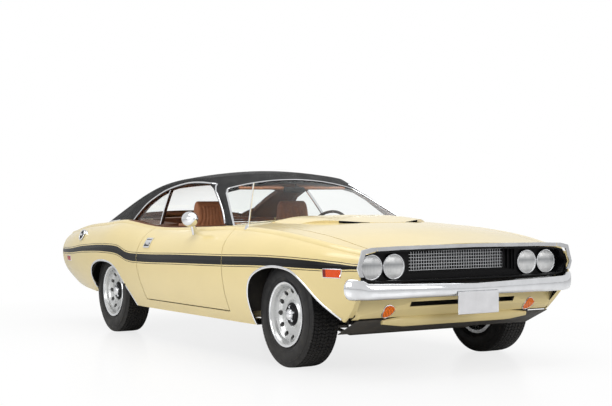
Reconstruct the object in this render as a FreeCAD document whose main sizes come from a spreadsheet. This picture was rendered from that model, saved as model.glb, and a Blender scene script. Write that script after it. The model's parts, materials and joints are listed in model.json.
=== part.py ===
# Two-door hardtop muscle car, full size, as an assembly of separate pieces.
# Millimetres. +X is forward, +Y is the car's left, +Z is up. The origin is on the ground,
# on the centreline, at the middle of the overall length.
import FreeCAD
import Part
import math
import os
import Sketcher
from FreeCAD import Placement, Rotation, Vector

doc = FreeCAD.newDocument("muscle_car")

# Driving dimensions: alias, value, meaning
SIZES = [
    ("wheelbase", 2794, "front axle to rear axle"),
    ("front_overhang", 860, "front axle to the front of the plate"),
    ("rear_overhang", 1206, "rear axle to the back of the plate"),
    ("body_width", 1934, "widest point of the quarter panels"),
    ("roof_height", 1293, "ground to the top of the roof"),
    ("belt_height", 878, "ground to the base of the side windows"),
    ("crease_height", 655, "ground to the crease along the side"),
    ("sill_height", 245, "ground to the underside of the sills"),
    ("front_track", 1516, "between the front wheels' centre planes"),
    ("rear_track", 1542, "between the rear wheels' centre planes"),
    ("tyre_radius", 335, "tyre outside radius"),
    ("tyre_width", 214, "tyre section width"),
    ("rim_radius", 190, "bead seat radius"),
    ("rim_width", 194, "wheel width over its flanges"),
    ("flange_height", 15, "rim flange above the bead seat"),
    ("rim_wall", 6, "wall of the rim barrel and disc"),
    ("hub_radius", 58, "raised centre of the wheel disc"),
    ("spindle_radius", 30, "wheel spindle radius"),
    ("running_gap", 0.05, "radial clearance round a spindle or pin"),
    ("fit_gap", 0.3, "clearance between parts that fit"),
    ("shut_gap", 7, "gap round doors, hood and trunk lid"),
    ("skin", 25, "thickness of a body panel"),
    ("roof_skin", 32, "thickness of the roof and its pillars"),
    ("glass", 6, "glass thickness"),
    ("kingpin_inset", 30, "kingpin inboard of the wheel's centre plane"),
    ("kingpin_radius", 13, "kingpin radius"),
    ("floor_height", 262, "ground to the underside of the floor"),
    ("floor_skin", 20, "thickness of the floor"),
    ("cabin_half_width", 745, "centreline to the inner face of a door"),
    ("axle_clearance", 505, "ground to the floor above the rear axle"),
    ("rail_height", 330, "ground to the underside of the front rails"),
    ("lamp_radius", 68, "headlamp lens radius"),
    ("lamp_height", 651, "ground to the headlamp centres"),
    ("outer_lamp_offset", 676, "centreline to the outer headlamps"),
    ("inner_lamp_offset", 516, "centreline to the inner headlamps"),
    ("hood_half_width", 690, "centreline to the hood's side edge"),
    ("bumper_depth", 46, "front bumper, front to back"),
    ("plate_width", 305, "number plate width"),
    ("plate_height", 130, "number plate height"),
    ("plate_thickness", 3.5, "number plate thickness"),
    ("seat_half_width", 215, "half the width of a front seat"),
    ("wheel_rim_radius", 185, "steering wheel radius"),
    ("column_radius", 10, "steering shaft radius"),
]

sheet = doc.addObject("Spreadsheet::Sheet", "sizes")
for row, (alias, value, meaning) in enumerate(SIZES, 1):
    sheet.set(f"A{row}", meaning)
    sheet.set(f"B{row}", str(value))
    sheet.setAlias(f"B{row}", alias)
doc.recompute()


class Sizes:
    """Reads a driving dimension from the sheet by its alias."""

    def __getattr__(self, alias):
        return float(sheet.get(alias))


S = Sizes()
G = S.fit_gap
FRONT_END = (S.front_overhang + S.wheelbase + S.rear_overhang) / 2
REAR_END = -FRONT_END
FRONT_AXLE = FRONT_END - S.front_overhang
REAR_AXLE = FRONT_AXLE - S.wheelbase
HALF = S.body_width / 2
WHEEL_Z = S.tyre_radius
FRONT_Y = S.front_track / 2
REAR_Y = S.rear_track / 2
KINGPIN_Y = FRONT_Y - S.kingpin_inset
FAR = 1200.0

# The same places as expressions, for objects bound to the sheet
X_FRONT = "((sizes.front_overhang + sizes.wheelbase + sizes.rear_overhang) / 2 - sizes.front_overhang)"
X_REAR = f"({X_FRONT} - sizes.wheelbase)"
Y_KINGPIN = "(sizes.front_track / 2 - sizes.kingpin_inset)"


def front(distance):
    """X of a point that far ahead of the front axle."""
    return FRONT_AXLE + distance


def rear(distance):
    """X of a point that far ahead of the rear axle."""
    return REAR_AXLE + distance


# Shape helpers
def line(a, b):
    return Part.LineSegment(a, b).toShape()


def arc(a, b, c):
    return Part.Arc(a, b, c).toShape()


def spline(points):
    curve = Part.BSplineCurve()
    curve.interpolate(points)
    return curve.toShape()


def polygon(points):
    return Part.makePolygon(list(points) + [points[0]])


def prism(wire, direction):
    return Part.Face(wire).extrude(direction)


def side_prism(outline, y0, y1):
    """Outline given as (x, z) points, extruded from y0 to y1."""
    wire = polygon([Vector(x, y0, z) for x, z in outline])
    return prism(wire, Vector(0, y1 - y0, 0))


def plan_prism(outline, z0, z1):
    """Outline given as (x, y) points, extruded from z0 to z1."""
    wire = polygon([Vector(x, y, z0) for x, y in outline])
    return prism(wire, Vector(0, 0, z1 - z0))


def face_prism(outline, x0, x1):
    """Outline given as (y, z) points, extruded from x0 to x1."""
    wire = polygon([Vector(x0, y, z) for y, z in outline])
    return prism(wire, Vector(x1 - x0, 0, 0))


def box(x0, x1, y0, y1, z0, z1):
    return Part.makeBox(x1 - x0, y1 - y0, z1 - z0, Vector(x0, y0, z0))


def wide_box(x0, x1, half, z0, z1):
    """Box that reaches half to each side of the centreline."""
    return box(x0, x1, -half, half, z0, z1)


def cylinder(radius, start, end):
    direction = end - start
    return Part.makeCylinder(radius, direction.Length, start, direction)


def mirrored(shape):
    return shape.mirror(Vector(0, 0, 0), Vector(0, 1, 0))


def both_sides(shape):
    """The shape and its mirror image as one compound of separate solids."""
    return Part.makeCompound([shape, mirrored(shape)])


def moved(shape, dx=0.0, dy=0.0, dz=0.0):
    copy = shape.copy()
    copy.translate(Vector(dx, dy, dz))
    return copy


def fuse(shapes):
    return shapes[0].fuse(shapes[1:])


def rounded(shape, radius):
    """The shape with every edge rounded, for plain blocks."""
    return shape.makeFillet(radius, shape.Edges)


def largest(shape):
    return max(shape.Solids, key=lambda solid: solid.Volume)


def pipe(radius, points):
    """Round rod along straight runs, its corners filled with balls."""
    runs = [cylinder(radius, a, b) for a, b in zip(points, points[1:])]
    balls = [Part.makeSphere(radius, p) for p in points[1:-1]]
    return fuse(runs + balls)


def revolved(profile):
    """Ring round the Y axis; the profile is given as (distance along Y, radius)."""
    wire = polygon([Vector(0, y, r) for y, r in profile])
    return Part.Face(wire).revolve(Vector(0, 0, 0), Vector(0, 1, 0), 360)


def piece(label, shape, at=Vector(0, 0, 0)):
    """Adds a sub-part whose shape is made by Part functions from the sheet's sizes."""
    feature = doc.addObject("Part::Feature", label)
    feature.Label = label
    feature.Shape = shape
    feature.Placement = Placement(at, Rotation())
    return feature


# Helpers for objects that are bound to the sheet
def bind(feature, **expressions):
    for name, expression in expressions.items():
        feature.setExpression(name.replace("__", "."), str(expression))


def place(feature, x=0, y=0, z=0):
    bind(feature, Placement__Base__x=x, Placement__Base__y=y, Placement__Base__z=z)


def bound_box(name, low, length, width, height):
    feature = doc.addObject("Part::Box", name)
    bind(feature, Length=length, Width=width, Height=height)
    place(feature, *low)
    return feature


def bound_cylinder(name, radius, height, base, direction=Vector(0, 0, 1)):
    feature = doc.addObject("Part::Cylinder", name)
    feature.Placement = Placement(Vector(0, 0, 0), Rotation(Vector(0, 0, 1), direction))
    bind(feature, Radius=radius, Height=height)
    place(feature, *base)
    return feature


def joined(label, features):
    feature = doc.addObject("Part::MultiFuse", label)
    feature.Shapes = features
    feature.Label = label
    return feature


def removed(label, base, tool):
    feature = doc.addObject("Part::Cut", label)
    feature.Base = base
    feature.Tool = tool
    feature.Label = label
    return feature


def round_edges(label, base, radius):
    """Fillets every edge of a bound object."""
    doc.recompute()
    feature = doc.addObject("Part::Fillet", label)
    feature.Base = base
    feature.Edges = [(i + 1, radius, radius) for i in range(len(base.Shape.Edges))]
    feature.Label = label
    return feature


# Lower body: one station per line, from the nose to the tail. Each holds X, the crease's
# inset from the half width and its rise, the shoulder's half width and rise, the crown's
# rise above the belt, the sill's half width and its rise.
STATIONS = [
    (front(870), 200, 0, 716, -142, -108, 600, 90),
    (front(720), 138, 4, 752, -128, -82, 690, 74),
    (front(560), 88, 8, 786, -106, -52, 785, 64),
    (front(400), 52, 9, 812, -82, -24, 832, 52),
    (front(0), 22, 10, 825, -34, 18, 865, 10),
    (front(-420), 12, 5, 815, -6, 44, 868, 0),
    (front(-800), 10, -3, 800, 2, 52, 868, 0),
    ((front(-800) + rear(800)) / 2, 12, -15, 790, -6, 47, 866, 0),
    (rear(800), 17, -24, 785, -8, 47, 864, 0),
    (rear(420), 12, 10, 788, 15, 47, 864, 5),
    (rear(180), 5, 35, 792, 33, 52, 862, 15),
    (rear(-100), 1, 35, 798, 27, 57, 860, 40),
    (rear(-500), 10, 21, 802, 2, 47, 850, 74),
    (rear(-850), 36, 5, 800, -32, 14, 822, 108),
    (rear(-1150), 78, -10, 785, -70, -26, 790, 184),
]


def body_section(station, inset):
    """Closed cross-section of the lower body, moved inwards by inset."""
    x, crease_in, crease_up, shoulder, shoulder_up, crown_up, sill, sill_up = station
    yc = HALF - crease_in - inset
    zc = S.crease_height + crease_up
    yb = shoulder - inset
    zb = S.belt_height + shoulder_up - inset
    zt = S.belt_height + crown_up - inset
    yr = sill - inset
    zr = S.sill_height + sill_up + inset
    low = (yc - 14, zc - 0.42 * (zc - zr))
    high = (yc - 0.30 * (yc - yb), zc + 0.55 * (zb - zc))
    edge_a = (yb + 20, zb - 24)
    edge_b = (yb + 2, zb - 4)
    edge_c = (yb - 32, zb + 3)

    def at(point, side):
        return Vector(x, side * point[0], point[1])

    mid = (0.5 * yb, zt - 0.30 * (zt - edge_c[1]))
    crown = [at(edge_c, -1), at(mid, -1), at((0, zt), 1), at(mid, 1), at(edge_c, 1)]
    sill_point = (yr, zr)
    crease = (yc, zc)
    return Part.Wire([
        line(at(sill_point, 1), at(sill_point, -1)),
        spline([at(sill_point, -1), at(low, -1), at(crease, -1)]),
        spline([at(crease, -1), at(high, -1), at(edge_a, -1)]),
        arc(at(edge_a, -1), at(edge_b, -1), at(edge_c, -1)),
        spline(crown),
        arc(at(edge_c, 1), at(edge_b, 1), at(edge_a, 1)),
        spline([at(edge_a, 1), at(high, 1), at(crease, 1)]),
        spline([at(crease, 1), at(low, 1), at(sill_point, 1)]),
    ])


def lower_body(inset):
    return Part.makeLoft([body_section(s, inset) for s in STATIONS], True, False)


# Greenhouse: one station per line, from the windshield to the deck. Each holds X, the base's
# half width, the drip rail's half width and drop below the roof's top, and the crown's drop.
CABIN_STATIONS = [
    (front(-560), 772, 585, 190, 100),
    (front(-1097), 782, 596, 135, 62),
    (front(-1397), 795, 604, 112, 36),
    (front(-1747), 808, 612, 90, 0),
    (rear(697), 808, 614, 103, 11),
    (rear(347), 810, 622, 146, 54),
    (rear(47), 812, 640, 220, 128),
    (rear(-203), 812, 665, 304, 217),
    (rear(-453), 805, 700, 396, 332),
    (rear(-583), 795, 715, 440, 400),
]
GREENHOUSE_BASE = S.belt_height - 78


def cabin_section(station, inset):
    """Closed cross-section of the greenhouse, moved inwards by inset."""
    x, base, drip, drip_down, crown_down = station
    yd = drip - inset
    zd = S.roof_height - drip_down - inset
    zt = S.roof_height - crown_down - inset
    y0 = base - inset
    z0 = min(GREENHOUSE_BASE - inset, zd - 20)
    side = ((y0 + yd) / 2 + 8, (z0 + zd) / 2)
    corner = (yd - 16, zd + 0.27 * (zt - zd))
    edge = (yd - 48, zd + 0.42 * (zt - zd))
    mid = (0.5 * edge[0], zt - 0.27 * (zt - edge[1]))
    base_point = (y0, z0)
    drip_point = (yd, zd)

    def at(point, side_sign):
        return Vector(x, side_sign * point[0], point[1])

    return Part.Wire([
        line(at(base_point, 1), at(base_point, -1)),
        spline([at(base_point, -1), at(side, -1), at(drip_point, -1)]),
        arc(at(drip_point, -1), at(corner, -1), at(edge, -1)),
        spline([at(edge, -1), at(mid, -1), at((0, zt), 1), at(mid, 1), at(edge, 1)]),
        arc(at(edge, 1), at(corner, 1), at(drip_point, 1)),
        spline([at(drip_point, 1), at(side, 1), at(base_point, 1)]),
    ])


def cabin(inset):
    return Part.makeLoft([cabin_section(s, inset) for s in CABIN_STATIONS], True, False)


OUTER = lower_body(0)
INNER = lower_body(S.skin)
LINER = lower_body(S.skin + G)
RAISED = lower_body(-G)
SKIN = OUTER.cut(INNER)

# Nose, tail and cowl edges follow wide vertical cylinders.
NOSE_X = front(795)
NOSE_RADIUS = 15000.0
TAIL_X = REAR_END + 55
TAIL_RADIUS = 6000.0
COWL_X = front(-577)
COWL_RADIUS = 1610.0
COWL_REAR = front(-997)


def nose_cylinder(grow):
    return Part.makeCylinder(NOSE_RADIUS + grow, 2 * FAR, Vector(NOSE_X - NOSE_RADIUS, 0, 0))


def tail_cylinder(grow):
    return Part.makeCylinder(TAIL_RADIUS + grow, 2 * FAR, Vector(TAIL_X + TAIL_RADIUS, 0, 0))


def cowl_cylinder(grow):
    return Part.makeCylinder(COWL_RADIUS + grow, 2 * FAR, Vector(COWL_X - COWL_RADIUS, 0, 0))


# Wheel openings, drawn as (x, z) splines closed below the body
FRONT_ARCH = [
    (front(-340), 230), (front(-358), 340), (front(-350), 449), (front(-290), 550), (front(-152), 612),
    (front(14), 633), (front(192), 613), (front(320), 545), (front(440), 440), (front(560), 340), (front(640), 230),
]
REAR_ARCH = [
    (rear(-262), 230), (rear(-290), 330), (rear(-307), 430), (rear(-255), 520), (rear(-140), 568),
    (rear(0), 582), (rear(150), 568), (rear(262), 520), (rear(350), 430), (rear(440), 340), (rear(510), 230),
]


def arch(points, y0, y1):
    """Wheel opening's outline, extruded from y0 to y1."""
    curve = spline([Vector(x, y0, z) for x, z in points])
    first = Vector(points[0][0], y0, points[0][1])
    last = Vector(points[-1][0], y0, points[-1][1])
    drop = Vector(0, 0, -200)
    wire = Part.Wire([curve, line(last, last + drop), line(last + drop, first + drop), line(first + drop, first)])
    return prism(wire, Vector(0, y1 - y0, 0))


# Mouth: the wide opening round the grille and the headlamps, as half of its (y, z) outline
GRILLE_X = front(676)
TUNNEL_DEPTH = 42.0
MOUTH_TOP = 752.0
MOUTH_LOW = 564.0
MOUTH_SIDE = [(520, 747, 1), (700, 741, 1), (766, 727, 1), (798, 650, 0), (762, 580, -1), (690, MOUTH_LOW, -1)]


def mouth_outline(grow):
    """Outline of the mouth; grow moves its edge outwards."""
    half = [(y + grow, z + grow * up) for y, z, up in MOUTH_SIDE]
    top = (0, MOUTH_TOP + grow)
    low = (0, MOUTH_LOW - grow)
    return [top] + half + [low] + [(-y, z) for y, z in reversed(half)]


MOUTH = face_prism(mouth_outline(G), GRILLE_X - TUNNEL_DEPTH - 8, FRONT_END)
HOOD_GAP = 6.0
HOOD_MOUTH = face_prism(mouth_outline(HOOD_GAP), GRILLE_X - TUNNEL_DEPTH - 8, FRONT_END)

# Doors
DOOR_FRONT = front(-687)
DOOR_REAR = rear(667)
DOOR_REAR_LOW = rear(737)
DOOR_BEND = 556.0
DOOR_LOW = S.sill_height + 73
DOOR_SLANT = 0.13
DOOR_LEAN = 90.0
DOOR_FAR = 1000.0


def door_prism(grow, y_in):
    """Left door's outline, extruded inwards from outside the body with its ends slanted."""
    outline = [
        (DOOR_FRONT + grow, DOOR_LOW - grow), (DOOR_FRONT + grow, 670), (DOOR_FRONT + grow - 40, 790),
        (DOOR_FRONT + grow - DOOR_LEAN, 880), (DOOR_FRONT + grow - DOOR_LEAN, FAR), (DOOR_REAR - grow, FAR),
        (DOOR_REAR - grow, DOOR_BEND), (DOOR_REAR_LOW - grow, DOOR_LOW - grow),
    ]
    wire = polygon([Vector(x, DOOR_FAR, z) for x, z in outline])
    depth = DOOR_FAR - y_in
    return prism(wire, Vector(DOOR_SLANT * depth, -depth, 0))


# Body shell: walls, sills, cowl, deck and tail
POST_FRONT = DOOR_FRONT + S.shut_gap + 80
COWL_LOW = 800.0
COWL_STEP = 840.0
KICK_X = front(-668)
KICK_Y = 670.0
WALL_Y = 615.0
WELL_Y = 630.0
WELL_TOP = 700.0
SHELF_X = rear(147)
CABIN_NARROW_X = DOOR_REAR + 60
TRUNK_FRONT = rear(-483)
TRUNK_REAR = rear(-1070)
LID_FRONT = rear(-560)
LID_REAR = rear(-1060)
LID_HALF = 640.0
LEDGE = 14.0
TAIL_OUTLINE = [(-770, 604), (770, 604), (755, 740), (-755, 740)]
TAIL_RECESS = 24.0
FLOOR_TOP = S.floor_height + S.floor_skin
REAR_FLOOR_TOP = S.axle_clearance + S.floor_skin


def lid_box(grow):
    return wide_box(LID_REAR - grow, LID_FRONT + grow, LID_HALF + grow, WELL_TOP, FAR)


fender_corner = OUTER.common(both_sides(box(DOOR_FRONT - DOOR_LEAN + S.shut_gap, DOOR_FRONT + S.shut_gap + 1, 690, FAR, 0, FAR)))
walls = OUTER.common(wide_box(REAR_END, POST_FRONT, FAR, 0, FAR)).common(tail_cylinder(0))
cavities = [
    wide_box(CABIN_NARROW_X, KICK_X, S.cabin_half_width, 0, COWL_LOW),
    wide_box(KICK_X, POST_FRONT + 1, KICK_Y, 0, COWL_LOW),
    wide_box(SHELF_X, COWL_REAR, WALL_Y, 0, FAR),
    wide_box(CABIN_NARROW_X, COWL_REAR, S.cabin_half_width, 0, FAR),
    INNER.common(wide_box(TRUNK_REAR, TRUNK_FRONT, FAR, 0, FAR)),
    INNER.common(wide_box(TRUNK_REAR, SHELF_X - S.skin, WALL_Y, 0, FAR)),
    wide_box(TRUNK_REAR, SHELF_X, WALL_Y, 0, REAR_FLOOR_TOP + G),
    lid_box(S.shut_gap).cut(LINER),
    both_sides(arch(REAR_ARCH, WELL_Y, FAR)),
    both_sides(box(rear(-390), rear(390), WELL_Y, 925, 100, WELL_TOP)),
    both_sides(box(rear(-60), rear(60), WALL_Y - 10, WELL_Y + 10, 0, 480)),
    face_prism(TAIL_OUTLINE, REAR_END, FAR).cut(tail_cylinder(-TAIL_RECESS)),
    wide_box(front(-900), POST_FRONT + 1, FAR, COWL_STEP, FAR).cut(cowl_cylinder(-S.shut_gap)),
    both_sides(box(front(-700), POST_FRONT + 1, S.hood_half_width - 1, FAR, 780, FAR)),
    OUTER.common(wide_box(DOOR_FRONT + S.shut_gap, POST_FRONT + 1, FAR, 0, FAR)).cut(LINER),
    fender_corner.cut(LINER),
]
body = walls.cut(cavities)
ledge = LINER.cut(lower_body(S.skin + 12)).common(lid_box(30)).cut(lid_box(-LEDGE))
body = body.fuse(ledge)
door_gap = door_prism(S.shut_gap, S.cabin_half_width - 14)
body = body.cut([door_gap, mirrored(door_gap)])
JAMB_X = DOOR_REAR + DOOR_SLANT * (DOOR_FAR - S.cabin_half_width)
jamb = box(DOOR_REAR - 5, JAMB_X + 20, S.cabin_half_width - 30, S.cabin_half_width - G, DOOR_LOW - 30, 840)
body = largest(body.fuse([jamb, mirrored(jamb)]))
piece("body_shell", body)

# Door slabs, with a slot along the top for the lowered glass
door = OUTER.common(door_prism(0, S.cabin_half_width))
slot = box(rear(690), front(-990), 772, 784, 780, FAR)
door = largest(door.cut(slot))
piece("door_left", door)
piece("door_right", mirrored(door))

# Fenders, thinner round the wheel so that it can steer, and raked back under the bumper
ARCH_LIP = 8.0
arch_relief = [(x + 0.16 * (x - FRONT_AXLE), z + (0 if z < 300 else 0.16 * (z - WHEEL_Z))) for x, z in FRONT_ARCH[:9]]
arch_relief += [(front(560), 420), (front(600), 230)]
NOSE_RAKE = [(front(742), 500), (front(728), 452), (front(692), 392), (front(640), 345), (front(575), 308), (front(540), 300)]
UNDERCUT = [
    (front(742), 500), (front(712), 452), (front(662), 398), (front(605), 348), (front(548), 304), (front(540), 150),
    (FRONT_END, 150), (FRONT_END, 500),
]
FENDER_Y = S.hood_half_width + S.shut_gap
fender = SKIN.common(box(DOOR_FRONT - DOOR_LEAN + S.shut_gap, FRONT_END, 0, FAR, 0, FAR))
fender = fender.cut([
    box(REAR_END, FRONT_END, -FAR, FENDER_Y, WELL_TOP + 30, FAR),
    box(REAR_END, front(650), -FAR, S.cabin_half_width + G, 0, WELL_TOP + 30),
    box(front(640), FRONT_END, -FAR, 690, 0, WELL_TOP + 30),
    arch(FRONT_ARCH, 0, FAR), MOUTH, door_gap,
    arch(arch_relief, 0, FAR).common(lower_body(ARCH_LIP)), side_prism(UNDERCUT, 0, FAR),
])
fender = largest(fender.common(nose_cylinder(0)))
piece("fender_left", fender)
piece("fender_right", mirrored(fender))

# Hood, with a raised centre that starts in a V with two dark slots
BULGE = [(-40, 400, 897, 230), (-300, 400, 928, 250), (-520, 390, 947, 300), (-760, 350, 957, 390)]
BULGE_V = [(front(-60), 0), (front(-95), 140), (front(-205), 320), (front(-330), 460), (front(-420), 560), (front(-900), 560)]
SLOT_IN = 150.0
SLOT_OUT = 318.0
SLOT_HEIGHT = 27.0
SLOT_DEPTH = 34.0
SLOT_FRONT = 60.0


def bulge_section(station):
    distance, half, top, slope = station
    x = front(distance)
    side = [(half + slope, top - 110), (half + 0.5 * slope, top - 44), (half + 0.1 * slope, top - 12), (0.6 * half, top - 2)]
    points = [Vector(x, -y, z) for y, z in side] + [Vector(x, 0, top + 2)] + [Vector(x, y, z) for y, z in reversed(side)]
    return Part.Wire([spline(points), line(points[-1], points[0])])


def v_outline(back):
    return [(x - back, y) for x, y in BULGE_V] + [(x - back, -y) for x, y in reversed(BULGE_V[1:])]


bulge = Part.makeLoft([bulge_section(s) for s in BULGE], True, False)
bulge = bulge.common(plan_prism(v_outline(0), 0, FAR)).cut(INNER)
slot_band = plan_prism(v_outline(-SLOT_FRONT), 0, FAR).cut(plan_prism(v_outline(SLOT_DEPTH), 0, FAR))
slot_band = slot_band.common(both_sides(box(front(-300), front(0), SLOT_IN, SLOT_OUT, 0, FAR)))
slot_room = Part.makeLoft([bulge_section((d, h, z - 4, w)) for d, h, z, w in BULGE], True, False)
slot_room = slot_room.cut(moved(slot_room, 0, 0, -SLOT_HEIGHT)).common(slot_band)
hood = SKIN.common(wide_box(front(-900), FRONT_END, S.hood_half_width, WELL_TOP + 30, FAR)).fuse(bulge)
hood = largest(hood.cut([cowl_cylinder(0), HOOD_MOUTH, slot_room]).common(nose_cylinder(0)))
piece("hood", hood)
TRIM_HEIGHT = 22.0
trim_face = face_prism(mouth_outline(HOOD_GAP + TRIM_HEIGHT), front(600), FRONT_END).cut(HOOD_MOUTH)
trim_face = trim_face.common(nose_cylinder(12)).cut(nose_cylinder(G))
top_trim = trim_face.common(wide_box(front(600), FRONT_END, S.hood_half_width - 1, WELL_TOP, FAR))
piece("hood_trim", largest(top_trim))
side_trim = trim_face.common(box(front(600), FRONT_END, S.hood_half_width + 6, FAR, 600, FAR))
piece("nose_trim", both_sides(largest(side_trim)))
lid = largest(SKIN.common(lid_box(0)))
piece("trunk_lid", lid)

# Roof with its pillars; the windshield lies on a cylinder raked like the glass.
GREEN = cabin(0)
SCREEN_TOP = Vector(front(-1397), 0, 1240)
SCREEN_BASE = Vector(front(-677), 0, 940)
SCREEN_RADIUS = 2100.0
GLASS_INSET = 4.0
SCREEN_OUTLINE = [(-825, -80), (-559, 712), (559, 712), (825, -80)]
SIDE_WINDOW = [
    (front(-975), 800), (front(-1018), 883), (front(-1238), 1025), (front(-1440), 1150), (front(-1530), 1184),
    (front(-1867), 1190), (rear(591), 1150), (rear(400), 1092), (rear(273), 1027), (rear(174), 905), (rear(250), 800),
]
BACK_HALF = [(rear(300), 545), (rear(-260), 590), (rear(-395), 540)]
screen_up = (SCREEN_TOP - SCREEN_BASE).normalize()
screen_out = Vector(screen_up.z, 0, -screen_up.x)


def screen_cylinder(inset):
    start = SCREEN_BASE - screen_up * 1500 - screen_out * SCREEN_RADIUS
    return cylinder(SCREEN_RADIUS - inset, start, start + screen_up * 4000)


def screen_prism(outline):
    """Outline on the windshield, given as (y, distance up the glass), cut square to it."""
    wire = polygon([SCREEN_BASE + screen_up * up + screen_out * 200 + Vector(0, y, 0) for y, up in outline])
    return prism(wire, screen_out * -500)


back_outline = BACK_HALF + [(x, -y) for x, y in reversed(BACK_HALF)]
back_hole = plan_prism(back_outline, 850, 1400)
screen_hole = screen_prism(SCREEN_OUTLINE).cut(screen_cylinder(S.roof_skin + 4))
side_hole = side_prism(SIDE_WINDOW, 300, FAR)
seat_on_body = moved(OUTER, 0, 0, G)
door_top = moved(OUTER, 0, 0, S.shut_gap).common(door_gap)
roof = GREEN.common(screen_cylinder(0))
roof = roof.cut(cabin(S.roof_skin).common(screen_cylinder(S.roof_skin)))
roof = roof.cut([seat_on_body, door_top, mirrored(door_top)])
roof = roof.cut([side_hole, mirrored(side_hole), screen_hole, back_hole])
piece("roof", largest(roof))
screen = screen_cylinder(GLASS_INSET).cut(screen_cylinder(GLASS_INSET + S.glass))
screen = screen.common(screen_hole).common(GREEN).cut(seat_on_body)
piece("windshield", largest(screen))
pane = cabin(GLASS_INSET).cut(cabin(GLASS_INSET + S.glass))
rear_glass = pane.common(back_hole).common(wide_box(REAR_END, 0, FAR, 900, 1400)).cut(seat_on_body)
piece("rear_window", largest(rear_glass))

# Quarter windows: a three-cornered pane behind a slanted bar on each side
BAR_LOW = rear(762)
BAR_HIGH = rear(602)
BAR_WIDTH = 16.0


def bar_outline(grow):
    return [
        (BAR_LOW + grow, 800), (BAR_HIGH + grow, FAR), (BAR_HIGH - BAR_WIDTH - grow, FAR),
        (BAR_LOW - BAR_WIDTH - grow, 800),
    ]


bar = cabin(2).cut(cabin(18)).common(side_prism(bar_outline(0), 300, FAR)).common(side_hole)
bar = bar.cut([seat_on_body, door_top])
piece("window_bars", both_sides(largest(bar)))
behind_bar = side_prism([
    (BAR_LOW - BAR_WIDTH - G, 800), (BAR_HIGH - BAR_WIDTH - G, FAR), (REAR_END, FAR), (REAR_END, 800),
], 300, FAR)
quarter = cabin(7).cut(cabin(7 + S.glass)).common(side_hole).common(behind_bar).cut([seat_on_body, door_top])
piece("quarter_windows", both_sides(largest(quarter)))

# Front frame: rails, wheel housings, radiator support, cross member and bumper brackets
RAIL_IN = 400.0
RAIL_OUT = 452.0
RAIL_HIGH = S.rail_height + 100
HOUSING_TOP = 715.0
HOUSING_HALF = 410.0
HOUSING_WALL = 14.0
SUPPORT_X = front(598)
FIREWALL_X = front(-598)
CROSS_TOP = S.rail_height + 10
BRACKET_IN = 330.0
BRACKET_OUT = 370.0
rail = box(FIREWALL_X, SUPPORT_X + 10, RAIL_IN, RAIL_OUT, S.rail_height, RAIL_HIGH)
rail = rail.cut(box(SUPPORT_X - 35, SUPPORT_X + 11, 0, FAR, 0, RAIL_HIGH - 28))
apron_in = RAIL_OUT - HOUSING_WALL
housing = fuse([
    box(FIREWALL_X, SUPPORT_X + 10, apron_in, RAIL_OUT, RAIL_HIGH, HOUSING_TOP),
    box(front(-HOUSING_HALF), front(HOUSING_HALF), apron_in, FAR, HOUSING_TOP - HOUSING_WALL, HOUSING_TOP),
    box(front(-HOUSING_HALF), front(HOUSING_WALL - HOUSING_HALF), apron_in, FAR, S.rail_height, HOUSING_TOP),
    box(front(HOUSING_HALF - HOUSING_WALL), front(HOUSING_HALF), apron_in, FAR, 520, HOUSING_TOP),
]).common(LINER)
side_frame = rail.fuse(housing)
support = wide_box(SUPPORT_X, SUPPORT_X + 20, 640, 400, 690).common(LINER)
rest = box(SUPPORT_X, SUPPORT_X + 20, 530, 580, 680, FAR).common(LINER)
cross = wide_box(front(-70), front(70), RAIL_IN + 5, S.rail_height - 80, CROSS_TOP)
bracket = box(SUPPORT_X + 15, FRONT_END - 40, BRACKET_IN, BRACKET_OUT, 470, 515)
sway_bar = pipe(11, [
    Vector(front(60), -520, 236), Vector(front(150), -470, 205), Vector(front(150), 470, 205),
    Vector(front(60), 520, 236),
])
hanger = box(front(138), front(162), 420, 440, 205, S.rail_height + 5)
frame = fuse([side_frame, mirrored(side_frame), support, rest, mirrored(rest), cross, bracket, mirrored(bracket), sway_bar,
              hanger, mirrored(hanger)])

# Grille surround with a recessed centre, grille mesh, headlamps and their rings
SURROUND_WALL = 8.0
SURROUND_PLATE = 12.0
RING_WIDTH = 10.0
LAMP_BALL = 240.0
MESH_HALF = 425.0
MESH_STEP = 22.0
MESH_LOW = 604.0
MESH_HIGH = 738.0
MESH_BAR = 3.0
MESH_PITCH = 19.0
lamp_centres = [(S.outer_lamp_offset, S.lamp_height), (S.inner_lamp_offset, S.lamp_height)]
lamp_centres += [(-y, z) for y, z in lamp_centres]
surround = face_prism(mouth_outline(0), GRILLE_X, FRONT_END).common(nose_cylinder(-12))
surround = surround.cut(face_prism(mouth_outline(-SURROUND_WALL), GRILLE_X + SURROUND_PLATE, FRONT_END))
openings = [cylinder(S.lamp_radius - 6, Vector(GRILLE_X - 5, y, z), Vector(GRILLE_X + 60, y, z)) for y, z in lamp_centres]
openings.append(wide_box(GRILLE_X - 5, GRILLE_X + 60, MESH_HALF, MESH_LOW, MESH_HIGH))
surround = surround.cut(openings)
TUNNEL_STEP = TUNNEL_DEPTH / 3
for step in range(3):
    back = GRILLE_X - (step + 1) * TUNNEL_STEP
    half = MESH_HALF - step * MESH_STEP
    ring = wide_box(back, back + TUNNEL_STEP + (1 if step == 0 else 0), half + 9, MESH_LOW + 5 * step - 9, MESH_HIGH + 8)
    room = wide_box(back - 1, GRILLE_X + 2, half - MESH_STEP + 8, MESH_LOW + 5 * step + 5, MESH_HIGH)
    surround = surround.fuse(ring.cut(room))
surround = surround.cut(wide_box(GRILLE_X - TUNNEL_DEPTH - 1, GRILLE_X + 2, MESH_HALF - 2 * MESH_STEP - 14, MESH_LOW + 15, MESH_HIGH))
piece("grille_surround", largest(surround))
mesh_edge = MESH_HALF - 2 * MESH_STEP - 14 - G
mesh_low = MESH_LOW + 15 + G
mesh_high = MESH_HIGH - G
mesh_x = GRILLE_X - TUNNEL_DEPTH
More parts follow.
